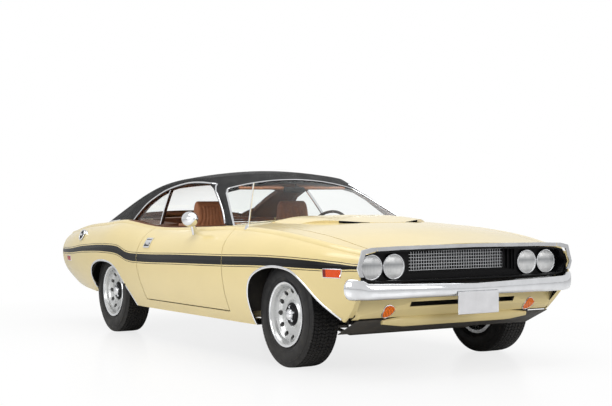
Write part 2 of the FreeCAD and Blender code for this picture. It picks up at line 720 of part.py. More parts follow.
columns = int((2 * mesh_edge - MESH_BAR) / MESH_PITCH)
rows = int((mesh_high - mesh_low) / MESH_PITCH)
upright = box(mesh_x + 2, mesh_x + 8, 0, MESH_BAR, mesh_low, mesh_high)
across = box(mesh_x + 2, mesh_x + 8, -mesh_edge, mesh_edge, 0, MESH_BAR)
column_pitch = (2 * mesh_edge - MESH_BAR) / columns
row_pitch = (mesh_high - mesh_low - MESH_BAR) / rows
bars = [moved(upright, 0, -mesh_edge + i * column_pitch, 0) for i in range(columns + 1)]
bars += [moved(across, 0, 0, mesh_low + i * row_pitch) for i in range(rows + 1)]
piece("grille_mesh", fuse(bars))
ring_x = GRILLE_X + SURROUND_PLATE + G
lenses = []
rings = []
for y, z in lamp_centres:
    start = Vector(ring_x, y, z)
    lens = cylinder(S.lamp_radius, start, start + Vector(30, 0, 0))
    dome = Part.makeSphere(LAMP_BALL, Vector(ring_x + 26 - LAMP_BALL, y, z))
    lenses.append(lens.common(dome))
    collar = cylinder(S.lamp_radius + RING_WIDTH, start, start + Vector(18, 0, 0))
    collar = collar.cut(cylinder(S.lamp_radius + G, start, start + Vector(40, 0, 0)))
    rings.append(collar.makeFillet(3, [e for e in collar.Edges if e.BoundBox.XMin > ring_x + 17]))
piece("headlamps", Part.makeCompound(lenses))
piece("lamp_rings", Part.makeCompound(rings))

# Bumpers: a bar along a plan curve, cut to a front-view outline that is taller at the ends
FACE = FRONT_END - S.plate_thickness - G
BACK = -FACE


def band(outer, depth, z0, z1):
    """Bar along a plan curve; outer holds the points of one half from the centre out."""
    sign = 1 if outer[0][0] > 0 else -1
    tip = outer[-1][1]
    inner = [(x - sign * depth * (1 - 0.65 * (y / tip) ** 6), y - depth * 0.5 * (y / tip) ** 4) for x, y in outer]

    def curve(points):
        return [Vector(x, -y, z0) for x, y in reversed(points)] + [Vector(x, y, z0) for x, y in points[1:]]

    face = curve(outer)
    rear_face = list(reversed(curve(inner)))
    wire = Part.Wire([
        spline(face), line(face[-1], rear_face[0]), spline(rear_face), line(rear_face[-1], face[0]),
    ])
    return prism(wire, Vector(0, 0, z1 - z0))


FRONT_LINE = [(FACE, 0), (FACE - 9, 400), (FACE - 26, 650), (FACE - 50, 775), (FACE - 102, 850), (FACE - 205, 884)]
END_VIEW = [
    (front(654), 500), (front(660), 530), (front(682), 560), (front(718), 586), (front(760), 600), (FRONT_END, 600),
    (FRONT_END, 400), (front(720), 440), (front(690), 456), (front(664), 474),
]
REAR_LINE = [(BACK, 0), (BACK + 50, 500), (BACK + 98, 780), (BACK + 135, 872), (BACK + 235, 918)]
BUMPER_LOW = 468.0
BUMPER_HIGH = 526.0
front_view = [
    (0, BUMPER_LOW), (700, BUMPER_LOW - 4), (FAR, BUMPER_LOW - 8), (FAR, 594), (812, 590), (768, 566), (720, 545),
    (640, BUMPER_HIGH + 4), (0, BUMPER_HIGH),
]
front_view += [(-y, z) for y, z in reversed(front_view[1:-1])]
bumper = band(FRONT_LINE, S.bumper_depth, 400, 650).common(face_prism(front_view, 0, FRONT_END))
bumper = bumper.common(side_prism(END_VIEW, -FAR, FAR))
bumper = largest(bumper.cut(lower_body(-4).common(nose_cylinder(4))))
piece("front_bumper", bumper)
piece("front_frame", largest(frame.cut(bumper)))
rear_bar = band(REAR_LINE, 40, 500, 590).cut(RAISED.common(tail_cylinder(G)))
piece("rear_bumper", largest(rear_bar))

# Valance below the front bumper, raked back towards the ground, with a chin and a slot, and the lamps on it
VALANCE_WALL = 22.0
VALANCE_TOP = 559.0
VALANCE_RADIUS = 3200.0
CHIN = [(-360, 284), (360, 284), (405, 340), (405, 420), (-405, 420), (-405, 340)]


def valance_block(back):
    """Everything behind the valance's face, moved back by that much."""
    profile = [(front(742) - back, VALANCE_TOP)] + [(x - back, z) for x, z in NOSE_RAKE[:5]]
    profile += [(front(520) - back, 286), (front(440), 286), (front(440), VALANCE_TOP)]
    plan = Part.makeCylinder(VALANCE_RADIUS, FAR, Vector(front(742) - back - VALANCE_RADIUS, 0, 0))
    return side_prism(profile, -FAR, FAR).common(plan)


valance = valance_block(0).cut(moved(valance_block(VALANCE_WALL), 0, 0, 8))
VALANCE_VIEW = [
    (-FAR, 322), (-689, 316), (-560, 308), (-405, 308), (405, 308), (560, 308), (689, 316), (FAR, 322),
    (FAR, VALANCE_TOP), (-FAR, VALANCE_TOP),
]
valance_view = face_prism(VALANCE_VIEW, 0, FRONT_END)
valance = valance.common(valance_view.fuse(face_prism(CHIN, 0, FRONT_END))).common(LINER)
valance = valance.cut([wide_box(front(500), FRONT_END, 400, 408, 438), support, bracket, mirrored(bracket), bumper])
piece("front_valance", largest(valance))
PARKING_Y = 545.0
PARKING_Z = 384.0
PARKING_RADIUS = 36.0
parking = cylinder(PARKING_RADIUS, Vector(front(540), PARKING_Y, PARKING_Z), Vector(front(760), PARKING_Y, PARKING_Z))
parking = parking.common(valance_block(-9)).cut(valance_block(-G))
piece("parking_lamps", both_sides(largest(parking)))
marker_skin = lower_body(-4).cut(RAISED)
piece("front_markers", both_sides(largest(marker_skin.common(box(front(510), front(645), 700, FAR, 594, 640)))))
piece("rear_markers", both_sides(largest(marker_skin.common(box(rear(-900), rear(-800), 700, FAR, 562, 598)))))

# Number plates
half_plate = "-sizes.plate_width / 2"
END_EXPR = "(sizes.front_overhang + sizes.wheelbase + sizes.rear_overhang) / 2"
FRONT_PLATE_LOW = 362
REAR_PLATE_LOW = 448
front_plate = bound_box("front_plate", (f"{END_EXPR} - sizes.plate_thickness", half_plate, FRONT_PLATE_LOW),
                        "sizes.plate_thickness", "sizes.plate_width", "sizes.plate_height")
rear_plate = bound_box("rear_plate", (f"-({END_EXPR})", half_plate, REAR_PLATE_LOW),
                       "sizes.plate_thickness", "sizes.plate_width", "sizes.plate_height")
plates = doc.addObject("Part::Compound", "number_plates")
plates.Links = [front_plate, rear_plate]
plates.Label = "number_plates"

# Tail panel and lamps follow the tail's plan curve.


def tail_plate(y0, y1, z0, z1, depth, thickness):
    """Plate whose face lies that deep below the tail's end."""
    slab = tail_cylinder(-depth).cut(tail_cylinder(-depth - thickness))
    return slab.common(box(REAR_END, 0, y0, y1, z0, z1))


tail_room = face_prism([(y - math.copysign(1, y) * G, z + (G if z < 700 else -G)) for y, z in TAIL_OUTLINE], REAR_END, 0)
piece("tail_panel", tail_plate(-FAR, FAR, 0, FAR, TAIL_RECESS - 6, 6 - G).common(tail_room))
piece("tail_lamps", both_sides(tail_plate(180, 735, 622, 722, 6, TAIL_RECESS - 12 - G)))
piece("reverse_lamp", tail_plate(-165, 165, 622, 722, 6, TAIL_RECESS - 12 - G))

# Antenna on the right front fender, fuel cap on the right quarter panel
MAST_FOOT = Vector(front(-585), -806, 882)
MAST_TIP = Vector(front(-492), -806, 1172)
mast = cylinder(5, MAST_FOOT - Vector(0, 0, 60), MAST_TIP)
mast_base = Part.makeCone(21, 9, 30, MAST_FOOT - Vector(0, 0, 20))
piece("antenna", largest(mast.fuse(mast_base).cut(seat_on_body)))
CAP_CENTRE = Vector(rear(-527), -860, 758)
cap_out = Vector(0, -0.93, 0.37)
cap = cylinder(48, CAP_CENTRE, CAP_CENTRE + cap_out * 70).fuse(cylinder(30, CAP_CENTRE, CAP_CENTRE + cap_out * 78))
piece("fuel_cap", largest(cap.cut(moved(OUTER, 0, -G, 0))))

# Floor pan with firewall, tunnel and trunk floor
HUMP_HALF = 150.0
HUMP_TOP = 440.0
HUMP_WALL = 18.0
RISER_X = rear(430)
wide_floor = wide_box(CABIN_NARROW_X + G, KICK_X - G, S.cabin_half_width - G, S.floor_height, FLOOR_TOP)
toe_floor = wide_box(KICK_X - 20, FIREWALL_X - G, KICK_Y - G, S.floor_height, FLOOR_TOP)
narrow_floor = wide_box(RISER_X, CABIN_NARROW_X + 20, WALL_Y - G, S.floor_height, FLOOR_TOP)
firewall = wide_box(FIREWALL_X - 20, FIREWALL_X - G, KICK_Y - G, S.floor_height, COWL_LOW - G)
riser = wide_box(RISER_X, RISER_X + 20, WALL_Y - G, S.floor_height, REAR_FLOOR_TOP)
axle_floor = wide_box(TRUNK_FRONT - 20, RISER_X + 20, WALL_Y - G, S.axle_clearance, REAR_FLOOR_TOP)
trunk_floor = LINER.common(wide_box(TRUNK_REAR + G, TRUNK_FRONT - G, FAR, S.axle_clearance, REAR_FLOOR_TOP))
hump = wide_box(RISER_X + 10, FIREWALL_X - 5, HUMP_HALF, S.floor_height, HUMP_TOP)
hump_room = wide_box(RISER_X - 30, FIREWALL_X + 5, HUMP_HALF - HUMP_WALL, 0, HUMP_TOP - HUMP_WALL)
pan = fuse([wide_floor, toe_floor, narrow_floor, firewall, riser, axle_floor, trunk_floor, hump]).cut(hump_room)
piece("floor_pan", largest(pan))

# Seats
SEAT_Y = 375.0


def front_seat(y):
    """High-backed bucket seat on a plinth."""
    half = S.seat_half_width
    cushion = side_prism([
        (front(-2000), FLOOR_TOP + 95), (front(-1500), FLOOR_TOP + 115), (front(-1470), FLOOR_TOP + 170),
        (front(-1510), FLOOR_TOP + 235), (front(-1980), FLOOR_TOP + 190),
    ], y - half, y + half)
    cushion = cushion.makeFillet(28, cushion.Edges)
    back = side_prism([
        (front(-1990), FLOOR_TOP + 120), (front(-1880), FLOOR_TOP + 150), (front(-1945), 880), (front(-1965), 990),
        (front(-1995), 1068), (front(-2060), 1062), (front(-2080), 880),
    ], y - half + 5, y + half - 5)
    shape = face_prism([
        (y - half, FLOOR_TOP), (y + half, FLOOR_TOP), (y + half, 840), (y + 160, 920), (y + 125, 1110),
        (y - 125, 1110), (y - 160, 920), (y - half, 840),
    ], front(-2300), front(-1700))
    back = back.common(shape)
    back = back.makeFillet(20, back.Edges)
    plinth = box(front(-1950), front(-1530), y - 170, y + 170, FLOOR_TOP + G, FLOOR_TOP + 130)
    return fuse([cushion, back, plinth])


piece("front_seats", both_sides(front_seat(SEAT_Y)))
BENCH_HALF = 600.0
bench_cushion = wide_box(SHELF_X + 150, rear(640), BENCH_HALF, REAR_FLOOR_TOP + G, REAR_FLOOR_TOP + 85)
bench_lip = wide_box(RISER_X + 20 + G, rear(640), BENCH_HALF, HUMP_TOP + G, REAR_FLOOR_TOP + 85)
bench_back = side_prism([
    (SHELF_X + G, REAR_FLOOR_TOP + G), (SHELF_X + 215, REAR_FLOOR_TOP + G), (SHELF_X + 120, 872), (SHELF_X + G, 885),
], -BENCH_HALF, BENCH_HALF)
piece("rear_seat", fuse([bench_cushion, bench_lip, bench_back]))

# Dashboard with the steering column
DASH_REAR = front(-1215)
DASH_HALF = 715.0
COLUMN_RAKE = 22.0
WHEEL_CENTRE = Vector(front(-1440), 365, 800)
column_down = Vector(math.cos(math.radians(COLUMN_RAKE)), 0, -math.sin(math.radians(COLUMN_RAKE)))
dash = side_prism([
    (DASH_REAR, 745), (DASH_REAR + 70, 650), (COWL_REAR - G, 650), (COWL_REAR - G, 878), (DASH_REAR + 60, 886),
    (DASH_REAR - 8, 872),
], -DASH_HALF, DASH_HALF)
dash_foot = wide_box(COWL_REAR - 30, FIREWALL_X - 20 - G, KICK_Y - 10, 700, COWL_LOW - G)
binnacle = side_prism([
    (DASH_REAR - 45, 895), (DASH_REAR - 15, 770), (DASH_REAR + 60, 760), (DASH_REAR + 60, 900),
], WHEEL_CENTRE.y - 190, WHEEL_CENTRE.y + 190)
column = cylinder(26, WHEEL_CENTRE + column_down * 45, WHEEL_CENTRE + column_down * 330)
shaft = cylinder(S.column_radius, WHEEL_CENTRE - column_down * 8, WHEEL_CENTRE + column_down * 60)
piece("dashboard", largest(fuse([dash, dash_foot, binnacle, column, shaft])))

# Steering wheel
grip = Part.makeTorus(S.wheel_rim_radius, 11, WHEEL_CENTRE, column_down)
hub = cylinder(34, WHEEL_CENTRE - column_down * 24, WHEEL_CENTRE + column_down * 30)
wheel_up = Vector(column_down.z, 0, -column_down.x) * -1
spokes = []
for angle in (90, -90, 180):
    turn = Rotation(column_down, angle)
    spokes.append(cylinder(9, WHEEL_CENTRE, WHEEL_CENTRE + turn.multVec(wheel_up) * S.wheel_rim_radius))
bore = cylinder(S.column_radius + S.running_gap, WHEEL_CENTRE - column_down * 12, WHEEL_CENTRE + column_down * 60)
piece("steering_wheel", largest(fuse([grip, hub] + spokes).cut(bore)))

# Console, engine and fuel tank as rounded blocks bound to the sheet
console_block = bound_box("console_block", (f"{X_FRONT} - 1900", -105, f"{HUMP_TOP} + sizes.fit_gap"), 640, 210, 80)
round_edges("console", console_block, 18)
ENGINE_LOW = CROSS_TOP + G
engine_block = bound_box("engine_block", (f"{X_FRONT} - 520", -290, "sizes.rail_height + 10 + sizes.fit_gap"), 790, 580, 455)
round_edges("engine", engine_block, 30)
tank_block = bound_box("tank_block", (f"{X_REAR} - 980", -380, "sizes.axle_clearance - sizes.fit_gap - 165"), 460, 760, 165)
round_edges("fuel_tank", tank_block, 25)
doc.recompute()

# Driveline, rear axle with leaf springs, exhaust
prop = cylinder(38, Vector(front(-1100), 0, WHEEL_Z), Vector(rear(110), 0, WHEEL_Z))
gearbox = Part.makeCone(72, 52, 620, Vector(front(-520) - G, 0, WHEEL_Z + 10), Vector(-1, 0, -0.02))
piece("driveline", gearbox.fuse(prop))
SPRING_IN = 530.0
SPRING_OUT = 590.0
axle_tube = cylinder(38, Vector(REAR_AXLE, -REAR_Y + 60, WHEEL_Z), Vector(REAR_AXLE, REAR_Y - 60, WHEEL_Z))
stub = cylinder(S.spindle_radius, Vector(REAR_AXLE, -REAR_Y - 55, WHEEL_Z), Vector(REAR_AXLE, REAR_Y + 55, WHEEL_Z))
diff = Part.makeSphere(118, Vector(REAR_AXLE, 0, WHEEL_Z)).common(wide_box(rear(-95), rear(200), 150, 0, FAR))
leaf = side_prism([
    (rear(-640), 462), (rear(-640), 450), (rear(-300), 392), (rear(0), 368), (RISER_X - G, 395), (RISER_X - G, 407),
    (rear(0), 386), (rear(-300), 406),
], SPRING_IN, SPRING_OUT)
shackle = box(rear(-640), rear(-612), SPRING_IN, SPRING_OUT, 450, S.axle_clearance - G)
spring = leaf.fuse(shackle)
axle = fuse([axle_tube, stub, diff, spring, mirrored(spring)]).cut(moved(prop, G, 0, 0))
piece("rear_axle", largest(axle.cut(cylinder(38 + G, Vector(front(-1100), 0, WHEEL_Z), Vector(rear(110) - G, 0, WHEEL_Z)))))
PIPE_LOW = 218.0
exhaust = pipe(24, [
    Vector(front(-450), 215, ENGINE_LOW - G), Vector(front(-450), 215, 262), Vector(front(-650), 190, PIPE_LOW),
    Vector(rear(560), 190, PIPE_LOW), Vector(rear(330), 440, PIPE_LOW), Vector(rear(180), 440, 452),
    Vector(rear(-200), 440, 452), Vector(rear(-440), 440, 400), Vector(rear(-1125), 440, 376),
])
silencer = rounded(box(rear(620), rear(1080), 105, 275, PIPE_LOW - 48, PIPE_LOW + 42), 30)
exhaust = exhaust.cut(box(front(-500), front(-400), 0, FAR, ENGINE_LOW - G, FAR))
piece("exhaust", both_sides(exhaust.fuse(silencer)))

# Front suspension: each pair of arms carries a kingpin that its knuckle turns on
KNUCKLE_HALF = 78.0
KNUCKLE_LOW = WHEEL_Z - KNUCKLE_HALF
KNUCKLE_HIGH = WHEEL_Z + KNUCKLE_HALF
ARM_WALL = 18.0


def arm(z0, z1):
    """A-arm from the rail to the kingpin, narrow enough for the steered wheel."""
    half = [(34, KINGPIN_Y + 28), (44, KINGPIN_Y), (70, KINGPIN_Y - 130), (110, RAIL_OUT + G)]
    outline = [(FRONT_AXLE + x, y) for x, y in half] + [(FRONT_AXLE - x, y) for x, y in reversed(half)]
    window = [(FRONT_AXLE, KINGPIN_Y - 60), (front(60), RAIL_OUT + 30), (front(-60), RAIL_OUT + 30)]
    return plan_prism(outline, z0, z1).cut(plan_prism(window, z0 - 1, z1 + 1))


kingpin = cylinder(S.kingpin_radius, Vector(FRONT_AXLE, KINGPIN_Y, KNUCKLE_LOW - 10), Vector(FRONT_AXLE, KINGPIN_Y, KNUCKLE_HIGH + 10))
lower_arm = arm(KNUCKLE_LOW - ARM_WALL, KNUCKLE_LOW - G)
lower_pivot = box(front(-110), front(110), RAIL_OUT + G, RAIL_OUT + 14, KNUCKLE_LOW - ARM_WALL, S.rail_height + 20)
arms = fuse([lower_arm, arm(KNUCKLE_HIGH + G, KNUCKLE_HIGH + ARM_WALL), kingpin, lower_pivot])
arms = arms.cut(pipe(11 + G, [Vector(front(60), 520, 236), Vector(front(150), 470, 205), Vector(front(150), 300, 205)]))
piece("control_arms", both_sides(largest(arms)))
for side, sign in (("left", 1), ("right", -1)):
    low_point = (X_FRONT, f"{sign} * {Y_KINGPIN}", f"sizes.tyre_radius - {KNUCKLE_HALF}")
    post = bound_cylinder(f"post_{side}", 27, 2 * KNUCKLE_HALF, low_point)
    stub_length = "sizes.kingpin_inset + 55"
    stub_base = (X_FRONT, f"{sign} * {Y_KINGPIN}", "sizes.tyre_radius")
    stub_axle = bound_cylinder(f"stub_{side}", "sizes.spindle_radius", stub_length, stub_base, Vector(0, sign, 0))
    pin_bore = bound_cylinder(f"pin_bore_{side}", "sizes.kingpin_radius + sizes.running_gap", 4 * KNUCKLE_HALF,
                              (X_FRONT, f"{sign} * {Y_KINGPIN}", f"sizes.tyre_radius - {2 * KNUCKLE_HALF}"))
    removed(f"knuckle_{side}", joined(f"upright_{side}", [post, stub_axle]), pin_bore)


# Wheels: revolved sketches whose points are bound to the sheet
def origin_feature(owner, role):
    return next(f for f in owner.Origin.OriginFeatures if f.Role == role)


def bound_sketch(owner, role, points):
    """Closed outline; each point is a pair of expressions, both positive or both signed by side."""
    sketch = owner.newObject("Sketcher::SketchObject", f"{owner.Label}_outline")
    sketch.AttachmentSupport = (origin_feature(owner, role), [""])
    sketch.MapMode = "FlatFace"
    values = [(sign * sheet_value(a), sheet_value(r)) for sign, a, r in points]
    count = len(values)
    for i in range(count):
        start = Vector(values[i][0], values[i][1], 0)
        end = Vector(values[(i + 1) % count][0], values[(i + 1) % count][1], 0)
        sketch.addGeometry(Part.LineSegment(start, end), False)
    for i in range(count):
        sketch.addConstraint(Sketcher.Constraint("Coincident", i, 2, (i + 1) % count, 1))
    for i, (sign, along, radius) in enumerate(points):
        if sheet_value(along):
            first = sketch.addConstraint(Sketcher.Constraint("DistanceX", -1, 1, i, 1, values[i][0]))
            sketch.setExpression(f"Constraints[{first}]", f"{sign} * ({along})")
        second = sketch.addConstraint(Sketcher.Constraint("DistanceY", -1, 1, i, 1, values[i][1]))
        sketch.setExpression(f"Constraints[{second}]", radius)
    return sketch


def sheet_value(expression):
    """Value of an expression of the sheet's sizes, worked out by the sheet."""
    sheet.set("D1", "=" + expression.replace("sizes.", ""))
    sheet.recompute()
    return float(sheet.get("D1"))


FLANGE = "sizes.rim_width / 2"
SEAT = "sizes.rim_radius"
WALL = "sizes.rim_wall"
LIP = "sizes.rim_radius + sizes.flange_height"
RIM_POINTS = [
    (-1, FLANGE, LIP), (-1, f"{FLANGE} - {WALL}", LIP), (-1, f"{FLANGE} - {WALL}", SEAT),
    (-1, f"{FLANGE} - 50", f"{SEAT} - 3"), (-1, f"{FLANGE} - 62", f"{SEAT} - 18"),
    (1, f"{FLANGE} - 52", f"{SEAT} - 18"), (1, f"{FLANGE} - 42", f"{SEAT} - 3"),
    (1, f"{FLANGE} - {WALL}", SEAT), (1, f"{FLANGE} - {WALL}", LIP), (1, FLANGE, LIP),
    (1, FLANGE, f"{SEAT} - 4"), (1, f"{FLANGE} - 14", f"{SEAT} - 14"), (1, f"{FLANGE} - 30", f"{SEAT} - 20"),
    (1, f"{FLANGE} - 44", f"{SEAT} - 30"), (1, f"{FLANGE} - 56", f"{SEAT} - 52"), (1, f"{FLANGE} - 60", "sizes.hub_radius + 34"),
    (1, f"{FLANGE} - 46", "sizes.hub_radius + 8"), (1, f"{FLANGE} - 38", "sizes.hub_radius"),
    (1, f"{FLANGE} - 38", "sizes.spindle_radius + sizes.running_gap"),
    (1, "5", "sizes.spindle_radius + sizes.running_gap"), (1, "5", "sizes.hub_radius"),
    (1, f"{FLANGE} - 58", "sizes.hub_radius + 6"), (1, f"{FLANGE} - 70", "sizes.hub_radius + 36"),
    (1, f"{FLANGE} - 66", f"{SEAT} - 56"), (1, f"{FLANGE} - 60", f"{SEAT} - 30"),
    (-1, f"{FLANGE} - 62", f"{SEAT} - 18 - {WALL}"), (-1, f"{FLANGE} - 50", f"{SEAT} - 3 - {WALL}"),
    (-1, FLANGE, f"{SEAT} - {WALL}"),
]
BEAD = f"{FLANGE} - {WALL} - sizes.fit_gap"
TYRE = "sizes.tyre_width / 2"
TOP = "sizes.tyre_radius"
TYRE_SIDE = [
    (f"{FLANGE} - 26", f"{SEAT} + sizes.fit_gap"), (BEAD, f"{SEAT} + sizes.fit_gap"), (BEAD, f"{SEAT} + 20"),
    (f"{TYRE} - 5", f"{SEAT} + 42"), (TYRE, f"{SEAT} + 74"), (f"{TYRE} - 3", f"{TOP} - 38"),
    (f"{TYRE} - 12", f"{TOP} - 14"), (f"{TYRE} - 26", f"{TOP} - 3"), (f"{TYRE} - 46", TOP),
]
TYRE_INSIDE = [(f"{TYRE} - 14", f"{SEAT} + 48"), (f"{TYRE} - 12", f"{TOP} - 44"), (f"{TYRE} - 40", f"{TOP} - 16")]
TYRE_POINTS = [(-1, a, r) for a, r in TYRE_SIDE] + [(1, a, r) for a, r in reversed(TYRE_SIDE)]
TYRE_POINTS += [(1, a, r) for a, r in TYRE_INSIDE] + [(-1, a, r) for a, r in reversed(TYRE_INSIDE)]


def wheel_body(label, points, x, y):
    """Ring about the wheel's axle; the sketch is on the YZ plane, its X axis along the axle."""
    owner = doc.addObject("PartDesign::Body", label)
    owner.Label = label
    sketch = bound_sketch(owner, "YZ_Plane", points)
    ring = owner.newObject("PartDesign::Revolution", f"{label}_ring")
    ring.Profile = sketch
    ring.ReferenceAxis = (sketch, ["H_Axis"])
    ring.Angle = 360
    owner.Tip = ring
    bind(owner, Placement__Base__x=x, Placement__Base__y=y, Placement__Base__z="sizes.tyre_radius")
    return owner


def wheel_windows(owner, side):
    """Ring of rounded slots through the disc, near its rim."""
    sketch = owner.newObject("Sketcher::SketchObject", f"{owner.Label}_slot")
    sketch.AttachmentSupport = (origin_feature(owner, "XZ_Plane"), [""])
    sketch.MapMode = "FlatFace"
    sketch.addGeometry(Part.Circle(Vector(0, S.rim_radius - 44, 0), Vector(0, 0, 1), 13), False)
    size = sketch.addConstraint(Sketcher.Constraint("Radius", 0, 13))
    rise = sketch.addConstraint(Sketcher.Constraint("DistanceY", -1, 1, 0, 3, S.rim_radius - 44))
    sketch.addConstraint(Sketcher.Constraint("PointOnObject", 0, 3, -2))
    sketch.setExpression(f"Constraints[{size}]", "sizes.rim_radius / 12")
    sketch.setExpression(f"Constraints[{rise}]", "sizes.rim_radius - 44")
    cut = owner.newObject("PartDesign::Pocket", f"{owner.Label}_window")
    cut.Profile = sketch
    cut.Type = "ThroughAll"
    cut.Reversed = side < 0
    pattern = owner.newObject("PartDesign::PolarPattern", f"{owner.Label}_windows")
    pattern.Originals = [cut]
    pattern.Axis = (sketch, ["N_Axis"])
    pattern.Angle = 360
    pattern.Occurrences = 12
    owner.Tip = pattern


for place_name, x_expr, track in (("front", X_FRONT, "sizes.front_track"), ("rear", X_REAR, "sizes.rear_track")):
    for side, sign in (("left", 1), ("right", -1)):
        y_expr = f"{sign} * {track} / 2"
        rim_points = [(sign * s, a, r) for s, a, r in RIM_POINTS]
        wheel_windows(wheel_body(f"rim_{place_name}_{side}", rim_points, x_expr, y_expr), sign)
        wheel_body(f"tyre_{place_name}_{side}", TYRE_POINTS, x_expr, y_expr)

# Mirror on the right door, handles on both doors
MIRROR_CENTRE = Vector(front(-1240), 910, 928)
bullet = Part.Wire([
    line(Vector(-44, 0, 0), Vector(-44, 0, 50)),
    spline([Vector(-44, 0, 50), Vector(-8, 0, 55), Vector(48, 0, 38), Vector(82, 0, 0)]),
    line(Vector(82, 0, 0), Vector(-44, 0, 0)),
])
head = Part.Face(bullet).revolve(Vector(0, 0, 0), Vector(1, 0, 0), 360)
head.translate(MIRROR_CENTRE)
MIRROR_FOOT = Vector(front(-1300), 838, 810)
stalk = Part.makeCone(26, 11, (MIRROR_CENTRE - MIRROR_FOOT).Length, MIRROR_FOOT, MIRROR_CENTRE - MIRROR_FOOT)
mirror = largest(stalk.fuse(head).cut(RAISED))
piece("mirror_right", mirrored(mirror))
handle = lower_body(-8).cut(RAISED).common(box(rear(772), rear(876), 850, FAR, 710, 784))
paddle_gap = box(rear(782), rear(866), 850, FAR, 718, 748).cut(lower_body(-3))
handle = handle.cut(paddle_gap)
piece("handle_left", largest(handle))
piece("handle_right", mirrored(largest(handle)))

# Check every object, then write each sub-part
NODES = [
    "body_shell", "door_left", "door_right", "fender_left", "fender_right", "hood", "trunk_lid", "roof",
    "windshield", "rear_window", "hood_trim", "nose_trim", "quarter_windows", "window_bars", "front_frame", "grille_surround", "grille_mesh",
    "headlamps", "lamp_rings", "front_bumper", "rear_bumper", "front_valance", "parking_lamps", "front_markers",
    "rear_markers", "number_plates", "tail_panel", "tail_lamps", "reverse_lamp", "antenna", "fuel_cap", "floor_pan",
    "front_seats", "rear_seat", "dashboard", "steering_wheel", "console", "engine", "fuel_tank", "driveline",
    "rear_axle", "exhaust", "control_arms", "knuckle_left", "knuckle_right", "mirror_right", "handle_left",
    "handle_right",
]
NODES += [f"{kind}_{end}_{side}" for kind in ("rim", "tyre") for end in ("front", "rear") for side in ("left", "right")]
sheet.clear("D1")
doc.recompute()
for feature in doc.Objects:
    if {"Invalid", "Error"} & set(feature.State):
        raise RuntimeError(f"{feature.Label} did not build")
os.makedirs("parts", exist_ok=True)
for label in NODES:
    shape = doc.getObjectsByLabel(label)[0].Shape
    if shape.isNull() or not shape.isValid() or not shape.Solids:
        raise RuntimeError(f"{label} is not a valid solid")
    shape.exportStep(f"parts/{label}.step")
    print(label, len(shape.Solids), round(shape.Volume / 1e6, 3))
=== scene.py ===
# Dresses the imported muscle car: paint, vinyl, chrome, glass, rubber and trim, seats, tyres and the stage.
# Metres. +X is forward, +Y is the car's left, +Z is up. The origin is on the ground at mid-length.
import json
import math
from functools import reduce

import bmesh
import bpy
from mathutils import Matrix, Vector
from mathutils.bvhtree import BVHTree


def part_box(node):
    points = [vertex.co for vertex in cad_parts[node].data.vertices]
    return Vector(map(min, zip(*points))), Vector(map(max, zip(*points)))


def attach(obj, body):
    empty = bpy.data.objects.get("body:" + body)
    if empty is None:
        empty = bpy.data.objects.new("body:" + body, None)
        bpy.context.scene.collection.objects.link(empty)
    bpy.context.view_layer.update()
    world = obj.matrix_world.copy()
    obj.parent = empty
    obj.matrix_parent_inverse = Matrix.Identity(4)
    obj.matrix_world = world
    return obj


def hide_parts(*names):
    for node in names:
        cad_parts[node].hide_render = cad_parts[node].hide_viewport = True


bl_info = {
    "name": "Muscle Car Dressing",
    "version": (1, 0, 0),
    "blender": (4, 5, 0),
    "location": "3D View > Sidebar > Car",
    "description": "Finishes and trim for a two-door hardtop",
    "category": "Object",
}

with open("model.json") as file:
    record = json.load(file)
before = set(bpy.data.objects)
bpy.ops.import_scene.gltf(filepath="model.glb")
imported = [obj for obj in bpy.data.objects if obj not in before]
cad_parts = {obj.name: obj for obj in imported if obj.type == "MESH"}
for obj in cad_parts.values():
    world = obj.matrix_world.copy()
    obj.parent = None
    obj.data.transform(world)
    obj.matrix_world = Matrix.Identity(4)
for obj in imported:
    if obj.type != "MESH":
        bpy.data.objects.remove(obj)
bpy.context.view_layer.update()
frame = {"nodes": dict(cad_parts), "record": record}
CAD = frame["nodes"]
SIDES = (("left", 1), ("right", -1))
ENDS = ("front", "rear")


def middle(node):
    """Centre of a CAD node's box."""
    low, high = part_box(node)
    return (Vector(low) + Vector(high)) / 2


FRONT_AXLE = middle("tyre_front_left").x
REAR_AXLE = middle("tyre_rear_left").x
TYRE_RADIUS = (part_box("tyre_front_left")[1][2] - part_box("tyre_front_left")[0][2]) / 2


def front(distance):
    """X of a point that far ahead of the front axle."""
    return FRONT_AXLE + distance


def rear(distance):
    """X of a point that far ahead of the rear axle."""
    return REAR_AXLE + distance


